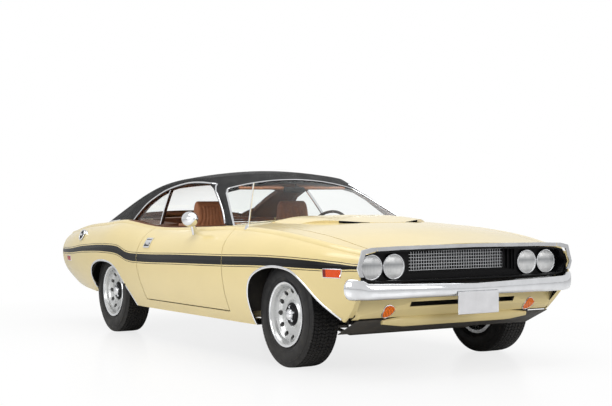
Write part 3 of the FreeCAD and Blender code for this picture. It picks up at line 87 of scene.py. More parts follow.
# Node trees
class Wiring:
    """Adds and links the nodes of one material or node group."""

    def __init__(self, tree):
        self.tree = tree

    def add(self, kind, inputs=None, **settings):
        node = self.tree.nodes.new(kind)
        for name, value in settings.items():
            setattr(node, name, value)
        for name, value in (inputs or {}).items():
            if isinstance(value, bpy.types.NodeSocket):
                self.tree.links.new(value, node.inputs[name])
            else:
                node.inputs[name].default_value = value
        return node

    def math(self, operation, first, second=0.0, clamp=False):
        node = self.add("ShaderNodeMath", {0: first, 1: second}, operation=operation, use_clamp=clamp)
        return node.outputs[0]

    def over(self, value, limit):
        """Mask that is one where the value is over the limit."""
        return self.math("GREATER_THAN", value, limit)

    def under(self, value, limit):
        """Mask that is one where the value is under the limit."""
        return self.math("LESS_THAN", value, limit)

    def size(self, value):
        return self.math("ABSOLUTE", value)

    def off(self, value, middle):
        """Distance of a value from a middle one."""
        return self.size(self.math("SUBTRACT", value, middle))

    def all(self, *masks):
        """Mask that is one where every mask is."""
        return reduce(lambda first, second: self.math("MULTIPLY", first, second), masks)

    def any(self, *masks):
        """Mask that is one where some mask is."""
        return reduce(lambda first, second: self.math("MAXIMUM", first, second), masks)

    def xyz(self, vector):
        """The three parts of a vector, as sockets."""
        parts = self.add("ShaderNodeSeparateXYZ", {0: vector}).outputs
        return parts["X"], parts["Y"], parts["Z"]

    def mix(self, factor, first, second, blend="MIX"):
        """Mixes two colours and returns the result's socket."""
        node = self.add("ShaderNodeMix", data_type="RGBA", blend_type=blend)
        for index, value in ((0, factor), (6, first), (7, second)):
            if isinstance(value, bpy.types.NodeSocket):
                self.tree.links.new(value, node.inputs[index])
            else:
                node.inputs[index].default_value = value
        return node.outputs[2]

    def remap(self, value, low, high, to_low=0.0, to_high=1.0):
        inputs = {"Value": value, "From Min": low, "From Max": high, "To Min": to_low, "To Max": to_high}
        return self.add("ShaderNodeMapRange", inputs).outputs[0]

    def group(self, tree, **inputs):
        node = self.add("ShaderNodeGroup", node_tree=tree)
        for name, value in inputs.items():
            socket = node.inputs[name.replace("_", " ")]
            if isinstance(value, bpy.types.NodeSocket):
                self.tree.links.new(value, socket)
            else:
                socket.default_value = value
        return node


def effect(name, inputs, outputs):
    """Empty node group with named sockets; returns its wiring, its inputs and its output node."""
    tree = bpy.data.node_groups.new(name, "ShaderNodeTree")
    for label, kind, default in inputs:
        socket = tree.interface.new_socket(name=label, in_out="INPUT", socket_type=kind)
        if default is not None:
            socket.default_value = default
    for label, kind in outputs:
        tree.interface.new_socket(name=label, in_out="OUTPUT", socket_type=kind)
    wires = Wiring(tree)
    return wires, wires.add("NodeGroupInput"), wires.add("NodeGroupOutput")


VALUE = "NodeSocketFloat"
COLOUR = "NodeSocketColor"
VECTOR = "NodeSocketVector"
EFFECTS = {}


def make_effects():
    """Builds the node groups that several materials share."""
    wires, source, sink = effect(
        "Road dust",
        [("Vector", VECTOR, None), ("Colour", COLOUR, (1, 1, 1, 1)), ("Amount", VALUE, 0.3), ("Height", VALUE, 0.5)],
        [("Colour", COLOUR), ("Mask", VALUE)],
    )
    place = wires.add("ShaderNodeSeparateXYZ", {0: source.outputs["Vector"]})
    cloud = wires.add("ShaderNodeTexNoise", {"Vector": source.outputs["Vector"], "Scale": 9.0, "Detail": 6.0})
    low = wires.math("SUBTRACT", 1.0, wires.math("DIVIDE", place.outputs["Z"], source.outputs["Height"]), True)
    mask = wires.math("MULTIPLY", wires.math("MULTIPLY", low, cloud.outputs["Fac"]), source.outputs["Amount"], True)
    tinted = wires.mix(mask, source.outputs["Colour"], (0.30, 0.26, 0.20, 1))
    wires.tree.links.new(tinted, sink.inputs["Colour"])
    wires.tree.links.new(mask, sink.inputs["Mask"])
    EFFECTS["dust"] = wires.tree

    wires, source, sink = effect(
        "Pebble grain",
        [("Vector", VECTOR, None), ("Size", VALUE, 400.0), ("Creases", VALUE, 0.5)],
        [("Height", VALUE), ("Shade", VALUE)],
    )
    cells = wires.add(
        "ShaderNodeTexVoronoi", {"Vector": source.outputs["Vector"], "Scale": source.outputs["Size"]},
        feature="DISTANCE_TO_EDGE",
    )
    rises = wires.remap(cells.outputs["Distance"], 0.0, 0.25)
    wide = wires.math("MULTIPLY", source.outputs["Size"], 0.12)
    folds = wires.add("ShaderNodeTexNoise", {"Vector": source.outputs["Vector"], "Scale": wide, "Detail": 5.0})
    soft = wires.math("MULTIPLY", folds.outputs["Fac"], source.outputs["Creases"])
    wires.tree.links.new(wires.math("ADD", rises, soft), sink.inputs["Height"])
    # Shade is lower down in the creases between the pebbles, where it darkens the colour: painted shade
    wires.tree.links.new(wires.remap(rises, 0.0, 1.0, 0.72, 1.0), sink.inputs["Shade"])
    EFFECTS["grain"] = wires.tree

    wires, source, sink = effect(
        "Handling marks",
        [("Vector", VECTOR, None), ("Low", VALUE, 0.05), ("High", VALUE, 0.2), ("Scale", VALUE, 14.0)],
        [("Roughness", VALUE), ("Height", VALUE)],
    )
    smear = wires.add("ShaderNodeTexNoise", {
        "Vector": source.outputs["Vector"], "Scale": source.outputs["Scale"], "Detail": 8.0, "Roughness": 0.65,
    })
    fine = wires.add("ShaderNodeTexNoise", {"Vector": source.outputs["Vector"], "Scale": 260.0, "Detail": 2.0})
    blend = wires.add("ShaderNodeMapRange", {
        "Value": smear.outputs["Fac"], "From Min": 0.35, "From Max": 0.7, "To Min": source.outputs["Low"],
        "To Max": source.outputs["High"],
    })
    wires.tree.links.new(blend.outputs[0], sink.inputs["Roughness"])
    wires.tree.links.new(fine.outputs["Fac"], sink.inputs["Height"])
    EFFECTS["marks"] = wires.tree

    wires, source, sink = effect(
        "Rubbed edges",
        [("Colour", COLOUR, (0.1, 0.1, 0.1, 1)), ("Bare", COLOUR, (0.4, 0.4, 0.4, 1)), ("Amount", VALUE, 0.4),
         ("Vector", VECTOR, None)],
        [("Colour", COLOUR), ("Mask", VALUE)],
    )
    chips = wires.add("ShaderNodeTexNoise", {"Vector": source.outputs["Vector"], "Scale": 34.0, "Detail": 7.0})
    spots = wires.remap(chips.outputs["Fac"], 0.56, 0.70)
    worn = wires.math("MULTIPLY", spots, source.outputs["Amount"], True)
    wires.tree.links.new(wires.mix(worn, source.outputs["Colour"], source.outputs["Bare"]), sink.inputs["Colour"])
    wires.tree.links.new(worn, sink.inputs["Mask"])
    EFFECTS["wear"] = wires.tree


def new_finish(name, **fixed):
    """Material with a Principled shader whose plain sockets are set; returns it, its wiring, shader and coordinates."""
    finish = bpy.data.materials.new(name)
    finish.use_nodes = True
    wires = Wiring(finish.node_tree)
    shader = finish.node_tree.nodes["Principled BSDF"]
    for socket, value in fixed.items():
        shader.inputs[socket.replace("_", " ")].default_value = value
    coordinates = wires.add("ShaderNodeTexCoord").outputs["Object"]
    return finish, wires, shader, coordinates


def feed(wires, shader, **sockets):
    for name, socket in sockets.items():
        wires.tree.links.new(socket, shader.inputs[name.replace("_", " ")])


def bump(wires, shader, height, strength, distance):
    node = wires.add("ShaderNodeBump", {"Height": height, "Strength": strength, "Distance": distance})
    wires.tree.links.new(node.outputs["Normal"], shader.inputs["Normal"])


def rgba(colour):
    return (colour[0], colour[1], colour[2], 1.0)


# Stripe along the side: X, height of its middle and half its width, from the nose to the tail
STRIPE = [
    (2.345, 0.655, 0.010), (2.20, 0.657, 0.017), (1.95, 0.664, 0.024), (1.60, 0.668, 0.027), (0.91, 0.656, 0.029),
    (0.16, 0.643, 0.030), (-0.58, 0.630, 0.030), (-0.70, 0.634, 0.029), (-1.03, 0.686, 0.028), (-1.16, 0.688, 0.027),
    (-1.60, 0.676, 0.023), (-2.30, 0.642, 0.016),
]
# The stripe's curves work with shares: X over twice the span, heights over the range, half widths times the scale
STRIPE_SPAN = 2.43
STRIPE_LOW = 0.60
STRIPE_RANGE = 0.12
WIDTH_SCALE = 10
# Limits of the body's painted areas, in the car's coordinates; inner and half are distances from its middle plane
STRIPE_INNER = 0.77
CABIN_FRONT = 0.62
CABIN_REAR = -1.075
CABIN_LOW = 0.28
CABIN_HALF = 0.79
SHELF_MIDDLE = -1.335
SHELF_REACH = 0.265
SHELF_LOW = 0.86
SHELF_HALF = 0.57
HIDDEN_TOP = 0.70
HIDDEN_INNER = 0.30
UNDER_TOP = 0.62
WELL_REACH = 0.44
SCOOP_Y = 0.234
SCOOP_HALF = 0.088
SCOOP_REACH = 0.075
MOUTH_REAR = 2.150
MOUTH_HALF = 0.800
MOUTH_HEIGHTS = (0.505, 0.600)
HIDDEN_COLOUR = (0.022, 0.021, 0.020, 1)


def stripe_curve(wires, along, values):
    """Float curve that reads a height from the distance along the car; values lie between 0 and 1."""
    node = wires.add("ShaderNodeFloatCurve", {"Value": along})
    curve = node.mapping.curves[0]
    points = [((x + STRIPE_SPAN) / (2 * STRIPE_SPAN), value) for x, value in reversed(values)]
    curve.points[0].location = (0.0, points[0][1])
    curve.points[-1].location = (1.0, points[-1][1])
    for place in points:
        curve.points.new(*place)
    for point in curve.points:
        point.handle_type = "AUTO_CLAMPED"
    node.mapping.update()
    return node.outputs[0]


def stripe_mask(wires, settings, x, z, normal_y, across):
    """Where the side stripe and its two outer lines are."""
    along = wires.remap(x, -STRIPE_SPAN, STRIPE_SPAN)
    centre = stripe_curve(wires, along, [(place, (height - STRIPE_LOW) / STRIPE_RANGE) for place, height, _ in STRIPE])
    half = stripe_curve(wires, along, [(place, width * WIDTH_SCALE) for place, _, width in STRIPE])
    centre = wires.math("ADD", wires.math("MULTIPLY", centre, STRIPE_RANGE), STRIPE_LOW)
    half = wires.math("MULTIPLY", half, settings.stripe_width / WIDTH_SCALE)
    away = wires.off(z, centre)
    outer = wires.under(away, wires.math("ADD", half, settings.line_gap + settings.line_width))
    inner = wires.over(away, wires.math("ADD", half, settings.line_gap))
    band = wires.any(wires.under(away, half), wires.all(outer, inner))
    before, behind = wires.under(x, STRIPE[0][0]), wires.over(x, STRIPE[-1][0])
    return wires.all(band, wires.over(wires.size(normal_y), 0.35), wires.over(across, STRIPE_INNER), before, behind)


def hidden_mask(wires, x, z, normal_z, across, outward):
    """Where the body is dark: its inner faces, wheel wells, underside, hood scoops and the slot of the nose."""
    low = wires.under(z, HIDDEN_TOP)
    inside = wires.all(wires.under(outward, -0.05), low, wires.over(across, HIDDEN_INNER))
    beside_axle = wires.math("MINIMUM", *(wires.off(x, axle) for axle in (FRONT_AXLE, REAR_AXLE)))
    well = wires.all(wires.under(beside_axle, WELL_REACH), wires.under(outward, 0.12), low)
    below = wires.all(wires.under(normal_z, -0.8), wires.under(z, UNDER_TOP))
    scoop_line = wires.math("SUBTRACT", 1.520, wires.math("MULTIPLY", across, 0.40))
    hood_height = wires.math("SUBTRACT", 1.0755, wires.math("MULTIPLY", x, 0.125))
    sunk = wires.any(wires.under(z, hood_height), wires.under(normal_z, 0.7))
    beside_scoop = wires.under(wires.off(x, scoop_line), SCOOP_REACH)
    scoop = wires.all(beside_scoop, wires.under(wires.off(across, SCOOP_Y), SCOOP_HALF), sunk)
    mouth = wires.all(
        wires.over(x, MOUTH_REAR), wires.under(across, MOUTH_HALF),
        wires.over(z, MOUTH_HEIGHTS[0]), wires.under(z, MOUTH_HEIGHTS[1]),
    )
    return wires.any(inside, well, below, scoop, mouth)


def cabin_mask(wires, x, z, across):
    """Where the body's inside is trimmed: the cabin and the rear shelf."""
    cabin = wires.all(
        wires.under(x, CABIN_FRONT), wires.over(x, CABIN_REAR), wires.over(z, CABIN_LOW),
        wires.under(across, CABIN_HALF),
    )
    shelf = wires.all(
        wires.under(wires.off(x, SHELF_MIDDLE), SHELF_REACH), wires.over(z, SHELF_LOW), wires.under(across, SHELF_HALF),
    )
    return wires.any(cabin, shelf)


def make_body_paint(settings):
    """Gloss cream with a black band between two thin lines along the side."""
    finish, wires, shader, place = new_finish(
        "body_paint", Coat_Roughness=0.05, Specular_IOR_Level=0.15,
    )
    x, y, z = wires.xyz(place)
    normal_y, normal_z = wires.xyz(wires.add("ShaderNodeTexCoord").outputs["Normal"])[1:]
    across = wires.size(y)
    outward = wires.math("MULTIPLY", normal_y, wires.math("SIGN", y))
    band = stripe_mask(wires, settings, x, z, normal_y, across)
    dark = hidden_mask(wires, x, z, normal_z, across, outward)
    cabin = cabin_mask(wires, x, z, across)

    tone = wires.add("ShaderNodeTexNoise", {"Vector": place, "Scale": 1.7, "Detail": 3.0})
    pale = rgba(settings.paint_colour)
    deep = rgba([c * 0.93 for c in settings.paint_colour])
    paint = wires.mix(wires.remap(tone.outputs["Fac"], 0.3, 0.7), pale, deep)
    flake = wires.add("ShaderNodeTexNoise", {"Vector": place, "Scale": 900.0, "Detail": 1.0})
    paint = wires.mix(wires.remap(flake.outputs["Fac"], 0.6, 0.8, 0.0, 0.06), paint, (1, 0.97, 0.85, 1))
    paint = wires.mix(band, paint, rgba(settings.stripe_colour))
    dusty = wires.group(EFFECTS["dust"], Vector=place, Colour=paint, Amount=0.16, Height=0.45)
    coated = wires.mix(dark, dusty.outputs["Colour"], HIDDEN_COLOUR)
    coated = wires.mix(cabin, coated, rgba([c * 0.20 for c in settings.seat_colour]))
    gloss = wires.math("SUBTRACT", 1.0, wires.any(band, dark, cabin))
    feed(wires, shader, Base_Color=coated, Coat_Weight=wires.math("MULTIPLY", gloss, 0.55))
    marks = wires.group(EFFECTS["marks"], Vector=place, Low=0.22, High=0.27, Scale=3.0)
    matt = wires.math("MAXIMUM", wires.math("MULTIPLY", dark, 0.75), wires.math("MULTIPLY", cabin, 0.6))
    dull = wires.math("MAXIMUM", marks.outputs["Roughness"], matt)
    feed(wires, shader, Roughness=dull)
    peel = wires.add("ShaderNodeTexNoise", {"Vector": place, "Scale": 210.0, "Detail": 2.0})
    bump(wires, shader, peel.outputs["Fac"], 0.025, 0.001)
    return finish


def make_grained(name, colour, size, depth, rough, sheen=0.0, creases=0.5):
    """Vinyl or moulded plastic with a pebble grain and slight wear."""
    finish, wires, shader, place = new_finish(name, Specular_IOR_Level=0.16, Sheen_Weight=sheen)
    grain = wires.group(EFFECTS["grain"], Vector=place, Size=size, Creases=creases)
    patches = wires.add("ShaderNodeTexNoise", {"Vector": place, "Scale": 5.0, "Detail": 5.0})
    tone = wires.mix(wires.remap(patches.outputs["Fac"], 0.3, 0.75), rgba(colour), rgba([c * 0.72 for c in colour]))
    # The colour is multiplied by the grain's Shade, so it is darker in the grain's creases: painted shade
    shade = wires.add("ShaderNodeCombineXYZ", {axis: grain.outputs["Shade"] for axis in range(3)})
    tone = wires.mix(1.0, tone, shade.outputs[0], "MULTIPLY")
    worn = wires.group(
        EFFECTS["wear"], Colour=tone, Bare=rgba([min(1, c * 1.5 + 0.02) for c in colour]), Amount=0.25, Vector=place,
    )
    feed(wires, shader, Base_Color=worn.outputs["Colour"])
    marks = wires.group(EFFECTS["marks"], Vector=place, Low=rough - 0.08, High=rough + 0.1, Scale=11.0)
    feed(wires, shader, Roughness=marks.outputs["Roughness"])
    bump(wires, shader, grain.outputs["Height"], depth, 0.0012)
    return finish


def make_roof(settings):
    """Black grained vinyl outside and tan cloth with cross seams inside."""
    finish = make_grained("vinyl_roof", (0.0055, 0.0057, 0.0062), 330.0, 0.55, 0.52)
    wires = Wiring(finish.node_tree)
    shader = finish.node_tree.nodes["Principled BSDF"]
    outside = shader.inputs["Base Color"].links[0].from_socket
    place, normal = (wires.add("ShaderNodeTexCoord").outputs[name] for name in ("Object", "Normal"))
    arm = wires.add("ShaderNodeVectorMath", {0: place, 1: (-0.35, 0.0, 0.75)}, operation="SUBTRACT")
    spread = wires.add("ShaderNodeVectorMath", {0: arm.outputs[0], 1: (0.5, 1.0, 1.0)}, operation="MULTIPLY")
    facing = wires.add("ShaderNodeVectorMath", {0: spread.outputs[0], 1: normal}, operation="DOT_PRODUCT")
    inside = wires.under(facing.outputs["Value"], -0.05)
    seam = wires.size(wires.math("SINE", wires.math("MULTIPLY", wires.xyz(place)[0], 9.0)))
    shade = wires.remap(seam, 0.0, 0.04, 0.55, 1.0)
    lining = wires.mix(shade, (0.010, 0.005, 0.003, 1), rgba([c * 0.17 for c in settings.seat_colour]))
    feed(wires, shader, Base_Color=wires.mix(inside, outside, lining))
    return finish


def make_metal(name, colour, low, high, wear, bare, metallic=1.0, peel=0.02, dust=0.0, shine=0.35):
    """Plated, painted or bare metal with handling marks; low and high are the limits of its roughness."""
    finish, wires, shader, place = new_finish(name, Metallic=metallic, Specular_IOR_Level=shine)
    patches = wires.add("ShaderNodeTexNoise", {"Vector": place, "Scale": 12.0, "Detail": 6.0})
    tone = wires.mix(wires.remap(patches.outputs["Fac"], 0.3, 0.75), rgba(colour), rgba([c * 0.86 for c in colour]))
    worn = wires.group(EFFECTS["wear"], Colour=tone, Bare=rgba(bare), Amount=wear, Vector=place)
    dusty = wires.group(EFFECTS["dust"], Vector=place, Colour=worn.outputs["Colour"], Amount=dust, Height=0.7)
    feed(wires, shader, Base_Color=dusty.outputs["Colour"])
    marks = wires.group(EFFECTS["marks"], Vector=place, Low=low, High=high, Scale=9.0)
    feed(wires, shader, Roughness=marks.outputs["Roughness"])
    bump(wires, shader, marks.outputs["Height"], peel, 0.001)
    return finish


def make_glass(name, tint, rough):
    """Clear sheet glass with faint wiping marks."""
    finish, wires, shader, place = new_finish(
        name, Transmission_Weight=1.0, Metallic=0.0, IOR=1.1, Specular_IOR_Level=0.5,
    )
    haze = wires.add("ShaderNodeTexNoise", {"Vector": place, "Scale": 4.0, "Detail": 6.0})
    colour = wires.mix(wires.remap(haze.outputs["Fac"], 0.35, 0.75), rgba(tint), rgba([c * 0.97 for c in tint]))
    feed(wires, shader, Base_Color=colour)
    marks = wires.group(EFFECTS["marks"], Vector=place, Low=rough, High=rough + 0.03, Scale=5.0)
    feed(wires, shader, Roughness=marks.outputs["Roughness"])
    return finish


def make_lens(name, colour, ribs, glow, axis="Y", shade=None):
    """Coloured lamp lens with moulded ribs, faintly lit from within."""
    finish, wires, shader, place = new_finish(
        name, Coat_Weight=0.25, Coat_Roughness=0.05, Emission_Strength=glow, Specular_IOR_Level=0.15,
    )
    spot = wires.add("ShaderNodeSeparateXYZ", {0: place})
    wave = wires.math("SINE", wires.math("MULTIPLY", spot.outputs[axis], ribs))
    cross = wires.math("SINE", wires.math("MULTIPLY", spot.outputs["Z"], ribs))
    pattern = wires.math("MULTIPLY", wave, cross)
    deep = rgba([c * 0.45 for c in colour])
    tone = wires.mix(wires.remap(pattern, -1.0, 1.0), deep, rgba(colour))
    if shade:
        edge, dim = shade
        tone = wires.mix(wires.under(spot.outputs[axis], edge), tone, rgba(dim))
    feed(wires, shader, Base_Color=tone, Emission_Color=tone)
    marks = wires.group(EFFECTS["marks"], Vector=place, Low=0.14, High=0.22, Scale=20.0)
    feed(wires, shader, Roughness=marks.outputs["Roughness"])
    bump(wires, shader, pattern, 0.5, 0.0015)
    return finish


def make_headlamp_glass():
    """Silvered sealed-beam lens with upright flutes and a faint band across."""
    finish, wires, shader, place = new_finish(
        "lamp_glass", Coat_Weight=1.0, Coat_Roughness=0.02, Metallic=0.0, Emission_Strength=0.12,
    )
    spot = wires.add("ShaderNodeSeparateXYZ", {0: place})
    wave = wires.math("SINE", wires.math("MULTIPLY", spot.outputs["Y"], 620.0))
    steps = wires.math("SINE", wires.math("MULTIPLY", spot.outputs["Z"], 190.0))
    pattern = wires.math("ADD", wave, wires.math("MULTIPLY", steps, 0.35))
    middle_z = middle("headlamps").z
    band = wires.remap(wires.off(spot.outputs["Z"], middle_z + 0.012), 0.0, 0.03)
    cloud = wires.add("ShaderNodeTexNoise", {"Vector": place, "Scale": 16.0, "Detail": 3.0})
    pale = wires.mix(wires.remap(cloud.outputs["Fac"], 0.35, 0.7), (0.92, 0.92, 0.91, 1), (0.66, 0.67, 0.67, 1))
    shaded = wires.mix(band, (0.30, 0.31, 0.32, 1), pale)
    tone = wires.mix(wires.remap(wave, -1.0, 1.0, 0.0, 0.25), shaded, (0.5, 0.51, 0.53, 1))
    feed(wires, shader, Base_Color=tone, Emission_Color=tone)
    marks = wires.group(EFFECTS["marks"], Vector=place, Low=0.10, High=0.18, Scale=20.0)
    feed(wires, shader, Roughness=marks.outputs["Roughness"])
    bump(wires, shader, pattern, 0.35, 0.001)
    return finish


def make_rubber():
    """Tyre rubber, greyer where it is dusty."""
    finish, wires, shader, place = new_finish("tyre_rubber", Specular_IOR_Level=0.22)
    cloud = wires.add("ShaderNodeTexNoise", {"Vector": place, "Scale": 24.0, "Detail": 7.0})
    tone = wires.mix(wires.remap(cloud.outputs["Fac"], 0.35, 0.7), (0.010, 0.010, 0.011, 1), (0.020, 0.0195, 0.019, 1))
    dusty = wires.group(EFFECTS["dust"], Vector=place, Colour=tone, Amount=0.07, Height=0.45)
    feed(wires, shader, Base_Color=dusty.outputs["Colour"])
    marks = wires.group(EFFECTS["marks"], Vector=place, Low=0.42, High=0.62, Scale=16.0)
    feed(wires, shader, Roughness=marks.outputs["Roughness"])
    bump(wires, shader, marks.outputs["Height"], 0.12, 0.001)
    return finish


FINISHES = {}


def make_finishes(settings):
    """Builds every material once."""
    make_effects()
    tan = settings.seat_colour
    FINISHES.update({
        "body_paint": make_body_paint(settings),
        "vinyl_roof": make_roof(settings),
        "black_paint": make_metal(
            "black_paint", (0.006, 0.006, 0.007), 0.34, 0.5, 0.10, (0.03, 0.03, 0.03), metallic=0.0, shine=0.14,
        ),
        "glass": make_glass("glass", (0.96, 0.98, 0.97), 0.0),
        "chrome": make_metal("chrome", (0.80, 0.81, 0.83), 0.04, 0.13, 0.02, (0.55, 0.52, 0.48)),
        "silver_mesh": make_metal("silver_mesh", (0.62, 0.63, 0.65), 0.22, 0.40, 0.1, (0.3, 0.3, 0.3)),
        "lamp_glass": make_headlamp_glass(),
        "amber_lens": make_lens("amber_lens", (0.90, 0.170, 0.002), 300.0, 0.18),
        "amber_side_lens": make_lens(
            "amber_side_lens", (0.88, 0.085, 0.003), 380.0, 0.15, "X", (2.104, (0.16, 0.006, 0.004)),
        ),
        "red_lens": make_lens("red_lens", (0.55, 0.012, 0.012), 300.0, 0.15),
        "red_side_lens": make_lens("red_side_lens", (0.50, 0.010, 0.022), 380.0, 0.12, "X"),
        "white_lens": make_lens("white_lens", (0.82, 0.84, 0.85), 300.0, 0.1),
        "plate_white": make_metal("plate_white", (0.86, 0.86, 0.88), 0.3, 0.45, 0.05, (0.7, 0.7, 0.72), 0.0),
        "tan_vinyl": make_grained("tan_vinyl", tan, 520.0, 0.45, 0.46, 0.05),
        "tan_cloth": make_grained("tan_cloth", [c * 0.7 for c in tan], 900.0, 0.30, 0.75, 0.2, 0.2),
        "dash_plastic": make_grained("dash_plastic", (0.045, 0.026, 0.018), 420.0, 0.35, 0.48),
        "carpet": make_grained("carpet", (0.06, 0.028, 0.016), 700.0, 0.8, 0.9, 0.3, 1.0),
        "under_paint": make_metal(
            "under_paint", (0.022, 0.021, 0.020), 0.55, 0.8, 0.35, (0.07, 0.055, 0.04), 0.0, 0.12, dust=0.4,
        ),
        "cast_metal": make_metal(
            "cast_metal", (0.13, 0.125, 0.12), 0.45, 0.7, 0.45, (0.16, 0.08, 0.04), 0.7, 0.15, dust=0.3,
        ),
        "engine_paint": make_metal(
            "engine_paint", (0.55, 0.10, 0.02), 0.30, 0.5, 0.25, (0.12, 0.1, 0.09), 0.0, 0.06, dust=0.1,
        ),
        "exhaust_steel": make_metal(
            "exhaust_steel", (0.34, 0.32, 0.30), 0.30, 0.6, 0.5, (0.22, 0.11, 0.05), 0.9, 0.1, dust=0.3,
        ),
        "wheel_silver": make_metal(
            "wheel_silver", (0.63, 0.64, 0.64), 0.24, 0.38, 0.08, (0.4, 0.39, 0.37), 0.75, 0.04, dust=0.12,
        ),
        "tyre_rubber": make_rubber(),
    })


# Meshes
class Surface:
    """Outside of one or more CAD nodes, found by casting rays at them."""

    def __init__(self, *names):
        view = bpy.context.evaluated_depsgraph_get()
        self.trees = [BVHTree.FromObject(CAD[name], view) for name in names]

    def hit(self, start, direction):
        """Nearest (point, normal) along a ray, or None."""
        best = None
        for tree in self.trees:
            point, normal, _, distance = tree.ray_cast(Vector(start), Vector(direction))
            if point is not None and (best is None or distance < best[2]):
                best = (point, normal, distance)
        return best[:2] if best else None

    def touch(self, start, direction):
        """Nearest (point, unit normal) along a ray that is known to meet the surface."""
        point, normal = self.hit(start, direction)
        return point, normal.normalized()


def curve_point(a, b, c, d, t):
    """Point between b and c on the smooth line through four points."""
    return 0.5 * (
        (2 * b) + (c - a) * t + (2 * a - 5 * b + 4 * c - d) * t * t + (3 * b - a - 3 * c + d) * t ** 3
    )


def curve_through(points, steps):
    """Points on a smooth line through the given ones."""
    points = [Vector(p) for p in points]
    padded = [points[0], *points, points[-1]]
    windows = zip(padded, padded[1:], padded[2:], padded[3:])
    return [curve_point(*window, step / steps) for window in windows for step in range(steps)] + [points[-1]]


def closed_curve(corners, steps):
    """Points on a closed smooth line through the corners."""
    corners = [Vector(p) for p in corners]
    count = len(corners)
    windows = [[corners[(i + k) % count] for k in (-1, 0, 1, 2)] for i in range(count)]
    return [curve_point(*window, step / steps) for window in windows for step in range(steps)]


def evened(rail):
    """Rail whose normals are averaged with their neighbours'."""
    last = len(rail) - 1
    return [
        (point, (rail[max(0, i - 1)][1] + normal * 2 + rail[min(last, i + 1)][1]).normalized())
        for i, (point, normal) in enumerate(rail)
    ]


def rail_frames(rail, closed):
    """Matrix for each point of the rail: X across, Y outwards, Z along."""
    frames = []
    count = len(rail)
    for i, (point, normal) in enumerate(rail):
        before = rail[(i - 1) % count if closed else max(0, i - 1)][0]
        after = rail[(i + 1) % count if closed else min(count - 1, i + 1)][0]
        along = (after - before).normalized()
        across = normal.cross(along).normalized()
        out = along.cross(across)
        matrix = Matrix((across, out, along)).transposed().to_4x4()
        matrix.translation = point
        frames.append(matrix)
    return frames


def ring_edges(bm, verts):
    """Edges that join the vertices in a ring."""
    return [bm.edges.new((verts[i - 1], verts[i])) for i in range(len(verts))]


def extruded(bm, edges):
    """Extrudes a ring of edges; returns the new vertices and the ring between them."""
    made = bmesh.ops.extrude_edge_only(bm, edges=edges)["geom"]
    verts = [item for item in made if isinstance(item, bmesh.types.BMVert)]
    fresh = set(verts)
    return verts, [item for item in made if isinstance(item, bmesh.types.BMEdge) and fresh.issuperset(item.verts)]


def sweep(bm, profile, rail, closed=False, widths=None):
    """Extrudes a closed outline of (across, out) pairs along a rail of (point, normal) pairs."""
    frames = rail_frames(rail, closed)
    if widths:
        frames = [matrix @ Matrix.Diagonal((width, 1, 1, 1)) for matrix, width in zip(frames, widths)]
    ring = [bm.verts.new(frames[0] @ Vector((across, out, 0))) for across, out in profile]
    edges = first = ring_edges(bm, ring)
    for before, now in zip(frames, frames[1:]):
        verts, edges = extruded(bm, edges)
        bmesh.ops.transform(bm, matrix=now @ before.inverted(), verts=verts)
    if closed:
        bmesh.ops.bridge_loops(bm, edges=first + edges)
    else:
        bmesh.ops.holes_fill(bm, edges=first + edges, sides=len(profile))


def turned(bm, outline, centre, axis, steps):
    """Spins a closed outline of (along the axis, radius) pairs about the axis."""
    axis = Vector(axis)
    up = axis.orthogonal().normalized()
    verts = [bm.verts.new(Vector(centre) + axis * along + up * radius) for along, radius in outline]
    edges = ring_edges(bm, verts)
    bmesh.ops.spin(
        bm, geom=verts + edges, cent=centre, axis=axis, dvec=(0, 0, 0), angle=2 * math.pi, steps=steps,
        use_merge=True, use_duplicate=False,
    )


def block(bm, low, high, edge=0.0, segments=2):
    """Box between two corners with its edges rounded."""
    low, high = Vector(low), Vector(high)
    size = high - low
    matrix = Matrix.Translation((low + high) / 2) @ Matrix.Diagonal((size.x, size.y, size.z, 1))
    made = bmesh.ops.create_cube(bm, size=1.0, matrix=matrix)["verts"]
    if edge:
        edges = list({e for v in made for e in v.link_edges})
        bmesh.ops.bevel(
            bm, geom=edges, offset=edge, segments=segments, affect="EDGES", profile=0.5, material=-1,
        )


# Height of a pad's crown in the middle of its face
PAD_CROWN = 0.010


def stuffed(bm, outline, centre_y, half, roll, pitch, depth, face, width=None):
    """Closed pad: a side outline run across the car in even steps and drawn in over a roll at both ends.

    face says whether an (x, z) point is on the pleated face; width gives the share of the width kept at a height.
    """
    across = max(8, round(2 * half / pitch * 6))
    step = 2 * half / across
    centre = sum((Vector(p) for p in outline), Vector((0, 0))) / len(outline)
    ring = [bm.verts.new((x, -half, z)) for x, z in outline]
    edges = first = ring_edges(bm, ring)
    for _ in range(across):
        verts, edges = extruded(bm, edges)
        bmesh.ops.translate(bm, vec=(0, step, 0), verts=verts)
    bmesh.ops.holes_fill(bm, edges=first + edges, sides=len(outline))
    bmesh.ops.recalc_face_normals(bm, faces=bm.faces)
    bm.normal_update()
    moves = []
    for vert in bm.verts:
        y = vert.co.y
        into = max(0.0, abs(y) - (half - roll)) / roll
        shrink = roll * (1 - math.sqrt(max(0.0, 1 - into * into)))
        away = Vector((vert.co.x - centre.x, 0, vert.co.z - centre.y))
        pull = away.normalized() * min(shrink, away.length * 0.6)
        crown = Vector((0, 0, 0))
        if face(vert.co.x, vert.co.z):
            groove = depth * (1 - abs(math.sin(math.pi * y / pitch))) if abs(y) < half - roll * 1.5 else 0.0
            crown = Vector(vert.normal) * (PAD_CROWN * (1 - (y / half) ** 2) - groove)
            crown.y = 0
        place = vert.co - pull + crown
        place.y = y * (width(vert.co.z) if width else 1.0) + centre_y
        moves.append(place)
    for vert, place in zip(bm.verts, moves):
        vert.co = place


